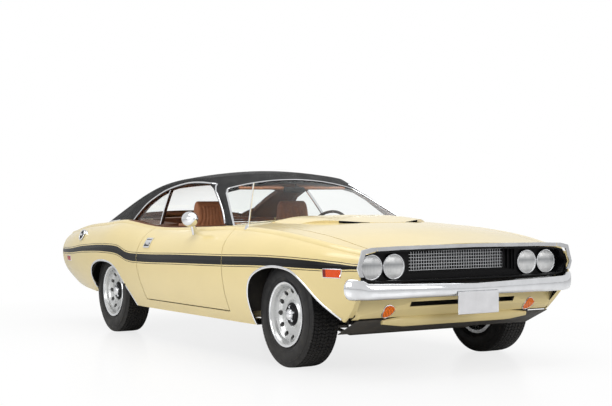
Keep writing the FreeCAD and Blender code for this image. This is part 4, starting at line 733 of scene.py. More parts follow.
def finish_piece(name, bm, finish, body, angle=35.0):
    """Makes the bmesh an object that rides on a body, with its finish as its material."""
    bmesh.ops.remove_doubles(bm, verts=bm.verts, dist=1e-5)
    bmesh.ops.recalc_face_normals(bm, faces=bm.faces)
    mesh = bpy.data.meshes.new(name)
    bm.to_mesh(mesh)
    bm.free()
    for polygon in mesh.polygons:
        polygon.use_smooth = True
    mesh.set_sharp_from_angle(angle=math.radians(angle))
    mesh.materials.append(FINISHES[finish])
    piece = bpy.data.objects.new(name, mesh)
    bpy.context.scene.collection.objects.link(piece)
    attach(piece, body)
    return piece


def dress(finish, *names):
    """Gives CAD nodes a finish."""
    for name in names:
        for slot in CAD[name].material_slots:
            slot.material = FINISHES[finish]


BODY_OF = {node: body for body, nodes in frame["record"]["behaviour"]["bodies"].items() for node in nodes}


# Where the rays at the car start
BESIDE = 1.3
AHEAD = 3.0


def from_side(side, x, z):
    """Start and direction of a ray that comes level from one side of the car."""
    return (x, side * BESIDE, z), (0, -side, 0)


def from_end(end, y, z):
    """Start and direction of a ray that comes level from the front, end 1, or the rear, end -1."""
    return (end * AHEAD, y, z), (-end, 0, 0)


def tilted(place, degrees):
    """Matrix that turns about Y and then moves to a place."""
    return Matrix.Translation(place) @ Matrix.Rotation(math.radians(degrees), 4, "Y")


def quarter_skin(surface, x, z, side):
    """Point and normal on the rear quarter's skin, carried on over the corner behind the wheel opening."""
    found = surface.hit(*from_side(side, x, z))
    if found and abs(found[0].y) > CORNER_DEPTH or x > CORNER_FRONT:
        return found
    behind = CORNER_REAR - 0.006
    beside = surface.hit(*from_side(side, behind, z))
    level = surface.hit(*from_side(side, behind, CORNER_TOP))
    above = surface.hit(*from_side(side, x, CORNER_TOP))
    if not (beside and level and above):
        return None
    return Vector((x, beside[0].y + above[0].y - level[0].y, z)), beside[1]


def side_rail(surface, points, side, offset, about):
    """Rail on the side of the car through (x, z) points, moved away from the point about by an offset."""
    rail = []
    for x, z in points:
        away = Vector((x - about[0], z - about[1])).normalized() * offset
        found = quarter_skin(surface, x + away.x, z + away.y, side)
        if found:
            rail.append((found[0], found[1].normalized()))
    return evened(rail)


# How deep a strip's foot lies in the panel
STRIP_SUNK = 0.002


def strip_outline(width, proud):
    """Half-round strip section: flat below, crowned above."""
    half = width / 2
    return [(-half, -STRIP_SUNK), (half, -STRIP_SUNK), (half, proud * 0.35), (half * 0.6, proud * 0.9), (0, proud),
            (-half * 0.6, proud * 0.9), (-half, proud * 0.35)]


def chrome_strip(name, profile, rail, body, closed=False):
    """Chrome piece of one section along a rail."""
    bm = bmesh.new()
    sweep(bm, profile, rail, closed=closed)
    finish_piece(name, bm, "chrome", body)


def turned_piece(name, outline, centre, axis, steps, finish, body):
    """Piece of one outline turned about an axis."""
    bm = bmesh.new()
    turned(bm, outline, centre, axis, steps)
    finish_piece(name, bm, finish, body)


# Wheel openings, repeated from the CAD source, as distances from an axle and heights
FRONT_ARCH = [
    (-0.340, 0.230), (-0.358, 0.340), (-0.350, 0.449), (-0.290, 0.550), (-0.152, 0.612), (0.014, 0.633),
    (0.192, 0.613), (0.320, 0.545), (0.440, 0.440), (0.560, 0.340), (0.640, 0.230),
]
REAR_ARCH = [
    (-0.262, 0.230), (-0.290, 0.330), (-0.307, 0.430), (-0.255, 0.520), (-0.140, 0.568), (0.0, 0.582),
    (0.150, 0.568), (0.262, 0.520), (0.350, 0.430), (0.440, 0.340), (0.510, 0.230),
]
HUB_HEIGHT = 0.33
# Corner of the rear quarter behind the wheel opening, which the CAD skin lacks: its limits in X and Z, the height
# where the skin is whole, the heights of its upper edge at the rear and at the opening, the height up to which the
# carried skin is used, the skin's lean above that, the least distance of the skin from the middle, and a thickness
CORNER_REAR = -1.614
CORNER_FRONT = -1.45
CORNER_LOW = 0.3165
CORNER_TOP = 0.456
CORNER_EDGE = (0.4490, 0.4380)
CORNER_SURE = 0.436
CORNER_LEAN = 0.42
CORNER_DEPTH = 0.80
CORNER_THICKNESS = 0.010
# Upper edge of the crowned bumper and how far it rises up to the start of its bends
BUMPER_TOP = 0.545
BUMPER_RISE = 0.020
BUMPER_STRAIGHT = 0.80
# Windows, repeated from the CAD source
SIDE_WINDOW = [
    (front(-1.018), 0.883), (front(-1.238), 1.025), (front(-1.440), 1.150), (front(-1.530), 1.184),
    (front(-1.867), 1.190), (rear(0.591), 1.150), (rear(0.400), 1.092), (rear(0.273), 1.027), (rear(0.174), 0.905),
]
WINDOW_MIDDLE = (front(-1.9), 0.86)
SCREEN_TOP = Vector((front(-1.397), 0, 1.240))
SCREEN_BASE = Vector((front(-0.677), 0, 0.940))
SCREEN_RADIUS = 2.1
SCREEN_STRAIGHT = 0.955
SCREEN_FOOT = 0.868
SCREEN_SIDE = [(0.825, -0.080), (0.559, 0.712)]
BACK_HALF = [(rear(0.300), 0.545), (rear(-0.260), 0.590), (rear(-0.395), 0.540)]


# User settings
class PaintSettings(bpy.types.PropertyGroup):
    """Colours of the paint, the stripe and the seats."""

    paint_colour: bpy.props.FloatVectorProperty(
        name="Paint", description="Colour of the body panels", subtype="COLOR", size=3, min=0, max=1,
        default=(0.79, 0.645, 0.310),
    )
    stripe_colour: bpy.props.FloatVectorProperty(
        name="Stripe", description="Colour of the side stripe", subtype="COLOR", size=3, min=0, max=1,
        default=(0.0045, 0.0048, 0.0052),
    )
    seat_colour: bpy.props.FloatVectorProperty(
        name="Seats", description="Colour of the seat vinyl", subtype="COLOR", size=3, min=0, max=1,
        default=(0.60, 0.245, 0.120),
    )
    stripe_width: bpy.props.FloatProperty(
        name="Stripe Width", description="Width of the side stripe, as a share of its drawn width", default=1.0,
        min=0.2, max=2.0,
    )
    line_gap: bpy.props.FloatProperty(
        name="Line Gap", description="Space between the stripe and its outer lines", default=0.0075, unit="LENGTH",
    )
    line_width: bpy.props.FloatProperty(
        name="Line Width", description="Width of the stripe's outer lines", default=0.0042, unit="LENGTH",
    )


class TrimSettings(bpy.types.PropertyGroup):
    """Sizes of the bright strips."""

    arch_width: bpy.props.FloatProperty(
        name="Arch Strip", description="Width of the strips round the wheel openings", default=0.015, unit="LENGTH",
    )
    window_width: bpy.props.FloatProperty(
        name="Window Strip", description="Width of the strips round the windows", default=0.013, unit="LENGTH",
    )
    proud: bpy.props.FloatProperty(
        name="Strip Height", description="How far a strip stands off the panel", default=0.0042, unit="LENGTH",
    )


class WheelSettings(bpy.types.PropertyGroup):
    """Tread and wheel fittings."""

    tread_blocks: bpy.props.IntProperty(
        name="Tread Blocks", description="Blocks round a tyre in each rib", default=88, min=24, max=160,
    )
    tread_depth: bpy.props.FloatProperty(
        name="Tread Depth", description="Depth of the tread grooves", default=0.006, unit="LENGTH",
    )
    nut_circle: bpy.props.FloatProperty(
        name="Nut Circle", description="Radius of the circle of wheel nuts", default=0.047, unit="LENGTH",
    )


class SeatSettings(bpy.types.PropertyGroup):
    """Sewn channels of the seats."""

    channel_pitch: bpy.props.FloatProperty(
        name="Channel Pitch", description="Distance between the sewn channels", default=0.046, unit="LENGTH",
    )
    channel_depth: bpy.props.FloatProperty(
        name="Channel Depth", description="Depth of the sewn channels", default=0.006, unit="LENGTH",
    )


class StageSettings(bpy.types.PropertyGroup):
    """Floor and light."""

    floor_colour: bpy.props.FloatVectorProperty(
        name="Floor", description="Colour of the floor", subtype="COLOR", size=3, min=0, max=1,
        default=(0.90, 0.90, 0.90),
    )
    lamp_power: bpy.props.FloatProperty(
        name="Lamp Power", description="Power of the overhead panel", default=275.0, unit="POWER",
    )


def settings_of(context, name):
    return getattr(context.scene, f"car_{name}")


class CAR_OT_paint(bpy.types.Operator):
    """Makes the finishes and gives every CAD node its own"""

    bl_idname = "car.paint"
    bl_label = "Paint the Car"

    def execute(self, context):
        make_finishes(settings_of(context, "paint"))
        wanted = {
            "body_paint": ["body_shell", "door_left", "door_right", "fender_left", "fender_right", "hood",
                           "trunk_lid", "front_valance"],
            "vinyl_roof": ["roof"],
            "glass": ["windshield", "rear_window", "quarter_windows"],
            "chrome": ["window_bars", "hood_trim", "nose_trim", "front_bumper", "rear_bumper", "lamp_rings", "antenna",
                       "fuel_cap", "mirror_right", "handle_left", "handle_right"],
            "black_paint": ["grille_surround", "tail_panel"],
            "silver_mesh": ["grille_mesh"],
            "lamp_glass": ["headlamps"],
            "amber_lens": ["parking_lamps"],
            "amber_side_lens": ["front_markers"],
            "red_lens": ["tail_lamps"],
            "red_side_lens": ["rear_markers"],
            "white_lens": ["reverse_lamp"],
            "plate_white": ["number_plates"],
            "carpet": ["floor_pan"],
            "tan_vinyl": ["front_seats", "rear_seat", "console"],
            "dash_plastic": ["dashboard", "steering_wheel"],
            "engine_paint": ["engine"],
            "under_paint": ["front_frame", "fuel_tank", "rear_axle"],
            "cast_metal": ["driveline", "control_arms", "knuckle_left", "knuckle_right"],
            "exhaust_steel": ["exhaust"],
            "wheel_silver": [f"rim_{end}_{side}" for end in ENDS for side, _ in SIDES],
            "tyre_rubber": [f"tyre_{end}_{side}" for end in ENDS for side, _ in SIDES],
        }
        missed = set(CAD) - {name for names in wanted.values() for name in names}
        if missed:
            raise RuntimeError(f"no finish for {sorted(missed)}")
        for finish, names in wanted.items():
            dress(finish, *names)
        return {"FINISHED"}


class CAR_OT_quarter_corners(bpy.types.Operator):
    """Adds the corners of the rear quarters behind the wheel openings"""

    bl_idname = "car.quarter_corners"
    bl_label = "Quarter Corners"

    def execute(self, context):
        surface = Surface("body_shell")
        opening = [tuple(p) for p in curve_through([(rear(x), z) for x, z in REAR_ARCH[:3]], 12)]
        columns, rows = 8, 12

        def skin(bm, side, depth):
            """Grid of vertices that lie that deep under the skin."""
            grid = []
            for row in range(rows + 1):
                line = []
                for column in range(columns + 1):
                    along = column / columns
                    top = CORNER_EDGE[0] + (CORNER_EDGE[1] - CORNER_EDGE[0]) * along
                    z = CORNER_LOW + (top - CORNER_LOW) * row / rows
                    arch_x = min(opening, key=lambda p: abs(p[1] - z))[0]
                    x = CORNER_REAR + (arch_x - CORNER_REAR) * along
                    found, normal = quarter_skin(surface, x, min(z, CORNER_SURE), side)
                    lean = max(0.0, z - CORNER_SURE) * CORNER_LEAN * side
                    line.append(bm.verts.new(Vector((x, found.y + lean, z)) - normal.normalized() * depth))
                grid.append(line)
            return grid

        border = [(0, c) for c in range(columns)] + [(r, columns) for r in range(rows)]
        border += [(rows, c) for c in range(columns, 0, -1)] + [(r, 0) for r in range(rows, 0, -1)]
        for side_name, side in SIDES:
            bm = bmesh.new()
            outer, inner = skin(bm, side, 0.0), skin(bm, side, CORNER_THICKNESS)
            for row in range(rows):
                for column in range(columns):
                    for grid in (outer, inner):
                        bm.faces.new((grid[row][column], grid[row][column + 1],
                                      grid[row + 1][column + 1], grid[row + 1][column]))
            for (r0, c0), (r1, c1) in zip(border, border[1:] + border[:1]):
                bm.faces.new((outer[r0][c0], inner[r0][c0], inner[r1][c1], outer[r1][c1]))
            finish_piece(f"quarter_corner_{side_name}", bm, "body_paint", BODY_OF["body_shell"])
        return {"FINISHED"}


class CAR_OT_side_strips(bpy.types.Operator):
    """Adds the bright strips round the wheel openings and the side windows"""

    bl_idname = "car.side_strips"
    bl_label = "Side Strips"

    def execute(self, context):
        trim = settings_of(context, "trim")
        for side_name, side in SIDES:
            for end, outline, axle, node in (
                ("front", FRONT_ARCH, FRONT_AXLE, f"fender_{side_name}"), ("rear", REAR_ARCH, REAR_AXLE, "body_shell"),
            ):
                line = curve_through([(axle + x, z) for x, z in outline], 8)
                rail = side_rail(Surface(node), line, side, trim.arch_width * 0.42, (axle, HUB_HEIGHT))
                profile = strip_outline(trim.arch_width, trim.proud)
                chrome_strip(f"arch_strip_{end}_{side_name}", profile, rail, BODY_OF[node])
            rail = side_rail(Surface("roof"), curve_through(SIDE_WINDOW, 8), side, 0.010, WINDOW_MIDDLE)
            profile = strip_outline(trim.window_width, trim.proud * 1.4)
            chrome_strip(f"window_strip_{side_name}", profile, rail, BODY_OF["roof"])
        return {"FINISHED"}


class CAR_OT_screen_strips(bpy.types.Operator):
    """Adds the bright strips round the windshield, the rear window and the foot of the roof"""

    bl_idname = "car.screen_strips"
    bl_label = "Screen Strips"

    def execute(self, context):
        trim = settings_of(context, "trim")
        up = (SCREEN_TOP - SCREEN_BASE).normalized()
        out = Vector((up.z, 0, -up.x))

        def on_screen(y, rise):
            drop = SCREEN_RADIUS - math.sqrt(SCREEN_RADIUS ** 2 - y * y)
            point = SCREEN_BASE + up * rise - out * drop + Vector((0, y, 0))
            normal = (out * (SCREEN_RADIUS - drop) + Vector((0, y, 0))).normalized()
            return point, normal

        (low_y, low_rise), (top_y, top_rise) = SCREEN_SIDE
        half = []
        steps = 26
        corner = 0.035
        for step in range(steps):
            t = step / steps * SCREEN_STRAIGHT
            half.append((low_y + (top_y - low_y) * t, low_rise + (top_rise - low_rise) * t))
        for step in range(5):
            turn = math.radians(90 * step / 4)
            half.append((top_y - corner * (1 - math.cos(turn)), top_rise - corner * (1 - math.sin(turn))))
        grow = trim.window_width * 0.35
        line = [(y + grow, rise + grow) for y, rise in half]
        across = [(line[-1][0] * (1 - 2 * k / 24), line[-1][1]) for k in range(1, 24)]
        whole = line + across + [(-y, rise) for y, rise in reversed(line)]
        rail = [(point, normal) for point, normal in (on_screen(*spot) for spot in whole) if point.z > SCREEN_FOOT]
        profile = strip_outline(trim.window_width, trim.proud)
        chrome_strip("screen_strip", profile, rail, BODY_OF["roof"])

        surface = Surface("roof", "rear_window", "body_shell")
        outline = [Vector(p) for p in BACK_HALF]
        path = []
        for a, b in zip(outline, outline[1:]):
            path += [a.lerp(b, k / 12) for k in range(12)]
        path.append(outline[-1])
        last = path[-1]
        bottom = [Vector((last.x - 0.012, last.y * (1 - 2 * k / 20))) for k in range(1, 20)]
        top = [Vector((outline[0].x + 0.008, -outline[0].y * (1 - 2 * k / 20))) for k in range(1, 20)]
        mirrored = [Vector((p.x, -p.y)) for p in reversed(path)]
        ring = [Vector((p.x, p.y + math.copysign(0.006, p.y))) for p in path] + bottom
        ring += [Vector((p.x, p.y + math.copysign(0.006, p.y))) for p in mirrored] + top
        rail = [surface.touch((spot.x, spot.y, 1.6), (0, 0, -1)) for spot in ring]
        chrome_strip("rear_window_strip", profile, evened(rail), BODY_OF["roof"], closed=True)

        roof = Surface("roof")
        deck = Surface("body_shell")
        pivot = Vector((rear(-0.05), 0, 0))
        rail = []
        for step in range(61):
            turn = math.radians(88 + 184 * step / 60)
            outward = Vector((math.cos(turn), math.sin(turn), 0))
            height = 0.90
            found = None
            for _ in range(4):
                start = pivot + outward * 1.4 + Vector((0, 0, height + 0.008))
                found = roof.hit(start, -outward)
                if not found:
                    break
                beside = found[0] + outward * 0.004
                below = deck.hit((beside.x, beside.y, 1.3), (0, 0, -1))
                if below:
                    height = below[0].z
            if found:
                rail.append((found[0] - Vector((0, 0, 0.003)), found[1].normalized()))
        chrome_strip("roof_foot_strip", strip_outline(0.012, 0.006), evened(rail), BODY_OF["roof"])
        return {"FINISHED"}


class CAR_OT_tyres(bpy.types.Operator):
    """Replaces the plain tyres with treaded ones"""

    bl_idname = "car.tyres"
    bl_label = "Tyres"

    def execute(self, context):
        wheels = settings_of(context, "wheels")
        depth = wheels.tread_depth
        base = TYRE_RADIUS - depth - 0.0005
        side = [
            (0.0905, 0.1915), (0.0905, 0.211), (0.0975, 0.222), (0.1005, 0.231), (0.1035, 0.233), (0.1065, 0.250),
            (0.1068, 0.2655), (0.1055, 0.286), (0.1030, 0.2955), (0.1046, 0.2975), (0.1035, 0.3005), (0.1005, 0.3030),
            (0.0965, 0.3140), (0.0905, base - 0.004),
        ]
        ribs = [(0.081, base - 0.0015), (0.054, base), (0.027, base), (0.0, base)]
        half = side + ribs
        outline = half + [(-along, radius) for along, radius in reversed(half[:-1])]
        tread_half = side[-1][0]
        turned_ribs = (0.054, 0.0, -0.054)
        tread_low = base - 0.006
        for end in ENDS:
            for side_name, sign in SIDES:
                node = f"tyre_{end}_{side_name}"
                centre = middle(node)
                bm = bmesh.new()
                turned(bm, outline, centre, (0, sign, 0), wheels.tread_blocks)
                bmesh.ops.remove_doubles(bm, verts=bm.verts, dist=1e-5)
                bmesh.ops.recalc_face_normals(bm, faces=bm.faces)
                tread = []
                for face in bm.faces:
                    spot = face.calc_center_median() - centre
                    if math.hypot(spot.x, spot.z) > tread_low and abs(spot.y) < tread_half:
                        tread.append(face)
                half_block = Matrix.Rotation(math.pi / wheels.tread_blocks, 3, "Y")
                for along in turned_ribs:
                    ring = [v for v in bm.verts if abs(v.co.y - centre.y - along) < 0.001
                            and math.hypot(v.co.x - centre.x, v.co.z - centre.z) > tread_low]
                    bmesh.ops.rotate(bm, cent=centre, matrix=half_block, verts=ring)
                bmesh.ops.inset_individual(bm, faces=tread, thickness=0.0022, depth=depth, use_even_offset=True)
                tyre = finish_piece(f"treaded_{node}", bm, "tyre_rubber", BODY_OF[node], angle=30)
                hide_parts(node)
        return {"FINISHED"}


class CAR_OT_wheels(bpy.types.Operator):
    """Adds the trim rings, caps and nuts of the wheels, with a black ring of painted shade round each hub and a dark
    ring behind each wheel's windows that stands for the brake drum and the painted shade round it
    """

    bl_idname = "car.wheels"
    bl_label = "Wheel Fittings"

    def execute(self, context):
        wheels = settings_of(context, "wheels")
        ring = [(0.0975, 0.2065), (0.1005, 0.2045), (0.1010, 0.1990), (0.0990, 0.1935), (0.0920, 0.1880),
                (0.0880, 0.1840), (0.0860, 0.1838), (0.0905, 0.1890), (0.0975, 0.1940)]
        cap = [(0.0588, 0.0), (0.0588, 0.036), (0.0640, 0.0375), (0.0720, 0.0350), (0.0790, 0.0270), (0.0825, 0.0130),
               (0.0832, 0.0)]
        # The hub plate is a black ring round the hub, under the nuts: painted shade for the shaded hollow round the hub
        plate = [(0.0588, 0.034), (0.0588, 0.0575), (0.0505, 0.0660), (0.0460, 0.0740), (0.0475, 0.0745),
                 (0.0522, 0.0672), (0.0606, 0.0585), (0.0612, 0.034)]
        # The drum shade is a dark ring just behind the wheel's windows: it stands for the brake drum, and its dark
        # colour seen through the windows is painted shade
        drum_shade = [(0.0170, 0.1260), (0.0170, 0.1655), (0.0200, 0.1655), (0.0240, 0.1520), (0.0240, 0.1270)]
        rounds = (
            ("trim_ring", ring, 96, "chrome"), ("wheel_cap", cap, 48, "chrome"),
            ("hub_shade_plate", plate, 48, "black_paint"), ("drum_shade_ring", drum_shade, 64, "under_paint"),
        )
        for end in ENDS:
            for side_name, sign in SIDES:
                node = f"rim_{end}_{side_name}"
                place = f"{end}_{side_name}"
                centre = middle(f"tyre_{place}")
                axis = Vector((0, sign, 0))
                body = BODY_OF[node]
                for label, outline, steps, finish in rounds:
                    turned_piece(f"{label}_{place}", outline, centre, axis, steps, finish, body)
                outwards = Matrix.Rotation(math.radians(-90 * sign), 4, "X")
                bm = bmesh.new()

                def cone(spot, sides, low, high, height):
                    bmesh.ops.create_cone(
                        bm, cap_ends=True, segments=sides, radius1=low, radius2=high, depth=height,
                        matrix=Matrix.Translation(spot) @ outwards,
                    )

                for count in range(5):
                    turn = math.radians(72 * count + 18)
                    spot = centre + Vector((math.cos(turn), 0, math.sin(turn))) * wheels.nut_circle
                    cone(spot + axis * 0.0645, 6, 0.0098, 0.0090, 0.010)
                    cone(spot + axis * 0.0710, 6, 0.0080, 0.0045, 0.005)
                cone(centre + Vector((0.118, 0, 0.118)) + axis * 0.050, 12, 0.0055, 0.004, 0.03)
                finish_piece(f"wheel_nuts_{place}", bm, "chrome", body, angle=25)
        return {"FINISHED"}


class CAR_OT_bumper(bpy.types.Operator):
    """Replaces the plain front bumper with a crowned one"""

    bl_idname = "car.bumper"
    bl_label = "Front Bumper"

    def execute(self, context):
        surface = Surface("front_bumper")
        # Place, normal and half height, from the middle to one end
        half = []
        for y in (0.0, 0.08, 0.16, 0.24, 0.32, 0.40, 0.48, 0.56, 0.62, 0.68, 0.73, 0.77, 0.80, 0.83, 0.85, 0.865):
            hits = []
            for step in range(60):
                z = 0.455 + step * 0.0025
                found = surface.hit(*from_end(1, y, z))
                if found:
                    hits.append((z, *found))
            low, high = hits[0][0], hits[-1][0]
            if y < BUMPER_STRAIGHT:
                high = max(high, BUMPER_TOP + BUMPER_RISE * y / BUMPER_STRAIGHT)
            _, spot, normal = hits[len(hits) // 2]
            normal = Vector((normal.x, normal.y, 0)).normalized()
            half.append((Vector((spot.x, y, (low + high) / 2)) - normal * 0.024, normal, (high - low) / 2))
        place, normal, height = half[-1]
        half.append((place + Vector((-0.012, 0.003, 0)), normal, height * 0.93))
        half.append((place + Vector((-0.020, 0.004, 0)), normal, height * 0.72))
        other = [(Vector((p.x, -p.y, p.z)), Vector((n.x, -n.y, n.z)), h) for p, n, h in reversed(half[1:])]
        whole = other + half
        profile = [
            (-0.88, -0.018), (-1.0, -0.010), (-0.985, 0.001), (-0.86, 0.011), (-0.55, 0.019), (0.0, 0.0225),
            (0.55, 0.021), (0.86, 0.014), (0.985, 0.004), (1.0, -0.006), (0.88, -0.018),
        ]
        bm = bmesh.new()
        sweep(bm, profile, evened([(p, n) for p, n, _ in whole]), widths=[h for _, _, h in whole])
        bumper = finish_piece("crowned_front_bumper", bm, "chrome", BODY_OF["front_bumper"], angle=50)
        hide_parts("front_bumper")
        return {"FINISHED"}


class CAR_OT_fittings(bpy.types.Operator):
    """Adds the lamp frames, the plate frames, the door handles' insides and the fuel cap's ring"""

    bl_idname = "car.fittings"
    bl_label = "Small Fittings"

    def execute(self, context):
        thin = strip_outline(0.007, 0.0035)
        lamp_y, lamp_z, lamp_radius = 0.545, 0.384, 0.0375
        front_frame = [(2.078, 0.592), (2.078, 0.642), (2.148, 0.642), (2.224, 0.642), (2.210, 0.592), (2.148, 0.592)]
        rear_frame = [
            (-2.126, 0.560), (-2.126, 0.600), (-2.074, 0.600), (-2.022, 0.600), (-2.022, 0.560), (-2.074, 0.560),
        ]
        handle = [
            (-0.440, 0.722), (-0.440, 0.773), (-0.400, 0.773), (-0.360, 0.773), (-0.360, 0.722), (-0.400, 0.722),
        ]
        for side_name, side in SIDES:
            for end, outline, names in (
                ("front", front_frame, (f"fender_{side_name}", "front_markers")),
                ("rear", rear_frame, ("body_shell", "rear_markers")),
            ):
                surface = Surface(*names)
                corners = [Vector(p) for p in outline]
                path = []
                for a, b in zip(corners, corners[1:] + corners[:1]):
                    path += [a.lerp(b, k / 5) for k in range(5)]
                rail = [surface.touch(*from_side(side, p.x, p.y)) for p in path]
                rail = [(point - normal * 0.0005, normal) for point, normal in rail]
                name = f"marker_frame_{end}_{side_name}"
                chrome_strip(name, thin, evened(rail), BODY_OF[names[0]], closed=True)

            surface = Surface("front_valance", "parking_lamps")
            rail = []
            for step in range(40):
                turn = 2 * math.pi * step / 40
                y = side * lamp_y + math.cos(turn) * lamp_radius
                rail.append(surface.touch(*from_end(1, y, lamp_z + math.sin(turn) * lamp_radius)))
            profile = strip_outline(0.008, 0.006)
            chrome_strip(f"parking_ring_{side_name}", profile, evened(rail), BODY_OF["front_valance"], closed=True)

            door = f"door_{side_name}"
            surface = Surface(f"handle_{side_name}")
            bm = bmesh.new()
            out = Vector((0, side, 0))
            spots = [surface.touch(*from_side(side, x, z))[0] for x, z in handle]
            lows = [bm.verts.new(spot - out * 0.001) for spot in spots]
            highs = [bm.verts.new(spot + out * 0.0012) for spot in spots]
            edges = ring_edges(bm, lows) + ring_edges(bm, highs)
            bmesh.ops.bridge_loops(bm, edges=edges)
            bmesh.ops.holes_fill(bm, edges=edges, sides=8)
            finish_piece(f"handle_recess_{side_name}", bm, "black_paint", BODY_OF[door])
            bm = bmesh.new()
            face_y = surface.touch(*from_side(side, -0.400, 0.738))[0].y
            y1, y2 = sorted((face_y - 0.002, face_y + 0.005 * side))
            block(bm, (-0.436, y1, 0.728), (-0.372, y2, 0.748), 0.0022)
            finish_piece(f"handle_flap_{side_name}", bm, "chrome", BODY_OF[door])

        outward = Vector((0, -0.93, 0.37)).normalized()
        face = Vector((-1.751, -0.9325, 0.7869))
        body = BODY_OF["fuel_cap"]
        ring = [(-0.004, 0.0480), (0, 0.0490), (0.0035, 0.0470), (0.0045, 0.0430), (0.0030, 0.0390), (0.0005, 0.0375)]
        turned_piece("fuel_cap_ring", ring, face, outward, 64, "chrome", body)
        dish = [(-0.001, 0.0), (-0.001, 0.0385), (0.0012, 0.0385), (0.0030, 0.020), (0.0035, 0.0)]
        turned_piece("fuel_cap_centre", dish, face, outward, 48, "black_paint", body)
        bm = bmesh.new()
        knob = [(0.0, 0.0), (0.0, 0.0125), (0.0050, 0.0120), (0.0065, 0.0090), (0.0070, 0.0)]
        turned(bm, knob, face, outward, 32)
        lever = bmesh.ops.create_cube(bm, size=1.0, matrix=Matrix.Diagonal((0.050, 0.008, 0.010, 1)))["verts"]
        turn = outward.to_track_quat("Y", "Z").to_matrix().to_4x4()
        bmesh.ops.transform(bm, matrix=Matrix.Translation(face + outward * 0.0035) @ turn, verts=lever)
        finish_piece("fuel_cap_lever", bm, "chrome", body)

        half = 0.1535
        for end, x, low, sign in (("front", 2.4265, 0.362, 1), ("rear", -2.4265, 0.448, -1)):
            ring = [(-half, low - 0.001), (half, low - 0.001), (half, low + 0.131), (-half, low + 0.131)]
            rail = []
            for (y1, z1), (y2, z2) in zip(ring, ring[1:] + ring[:1]):
                for step in range(6):
                    spot = Vector((x, y1 + (y2 - y1) * step / 6, z1 + (z2 - z1) * step / 6))
                    rail.append((spot, Vector((sign, 0, 0))))
            chrome_strip(f"plate_frame_{end}", strip_outline(0.006, 0.003), rail, "car", closed=True)
            bm = bmesh.new()
            for y in (-0.115, 0.115):
                screw = tilted((x + sign * 0.0015, y, low + 0.108), 90)
                bmesh.ops.create_cone(
                    bm, cap_ends=True, segments=16, radius1=0.006, radius2=0.006, depth=0.0035, matrix=screw,
                )
            finish_piece(f"plate_screws_{end}", bm, "chrome", "car")

        bm = bmesh.new()
        block(bm, (2.1900, -0.385, 0.600), (2.1960, 0.385, 0.755), 0.002)
        finish_piece("grille_backing", bm, "black_paint", BODY_OF["grille_mesh"])

        surface = Surface("front_valance")
        rail = []
        steps = 32
        for step in range(steps + 1):
            y = -0.560 + 1.120 * step / steps
            spot = surface.touch(*from_end(1, y, 0.350))[0]
            rail.append((Vector((spot.x - 0.010, y, 0.318)), Vector((1, 0, 0))))
        bm = bmesh.new()
        lip = [
            (-0.030, -0.010), (-0.034, -0.004), (-0.030, 0.004), (0.000, 0.010), (0.026, 0.006), (0.030, -0.002),
            (0.022, -0.010),
        ]
        widths = [min(1.0, 0.45 + 0.55 * min(step, steps - step) / 4) for step in range(steps + 1)]
        sweep(bm, lip, evened(rail), widths=widths)
        finish_piece("chin_lip", bm, "body_paint", BODY_OF["front_valance"], angle=60)
        bm = bmesh.new()
        block(bm, (-0.115, -0.740, -0.0025), (0.115, 0.740, 0.0025), 0.001)
        bmesh.ops.transform(bm, matrix=tilted((2.105, 0, 0.285), -24), verts=bm.verts)
        finish_piece("splash_panel", bm, "under_paint", BODY_OF["front_frame"])

        surface = Surface("tail_panel", "tail_lamps", "reverse_lamp")
        corners = [Vector(p) for p in ((-0.762, 0.612), (0.762, 0.612), (0.762, 0.732), (-0.762, 0.732))]
        path = []
        for a, b in zip(corners, corners[1:] + corners[:1]):
            count = 40 if abs(a.x - b.x) > 0.5 else 8
            path += [a.lerp(b, k / count) for k in range(count)]
        rail = []
        for spot in path:
            found = surface.hit(*from_end(-1, spot.x, spot.y))
            if found:
                rail.append((found[0], found[1].normalized()))
        chrome_strip("tail_frame", strip_outline(0.010, 0.006), evened(rail), BODY_OF["tail_panel"], closed=True)
        bm = bmesh.new()
        for _, side in SIDES:
            for count in range(6):
                y = side * (0.22 + count * 0.087)
                rail = [surface.touch(*from_end(-1, y, 0.626 + step * 0.0184)) for step in range(6)]
                sweep(bm, strip_outline(0.007, 0.005), rail)
        finish_piece("tail_lamp_ribs", bm, "chrome", BODY_OF["tail_panel"])
        lock = [(-0.002, 0.0), (-0.002, 0.019), (0.003, 0.0185), (0.005, 0.014), (0.0035, 0.008), (0.003, 0.0)]
        spot = Surface("body_shell").touch(*from_end(-1, 0.0, 0.79))[0]
        turned_piece("trunk_lock", lock, spot, (-1, 0, 0), 40, "chrome", "car")
        return {"FINISHED"}


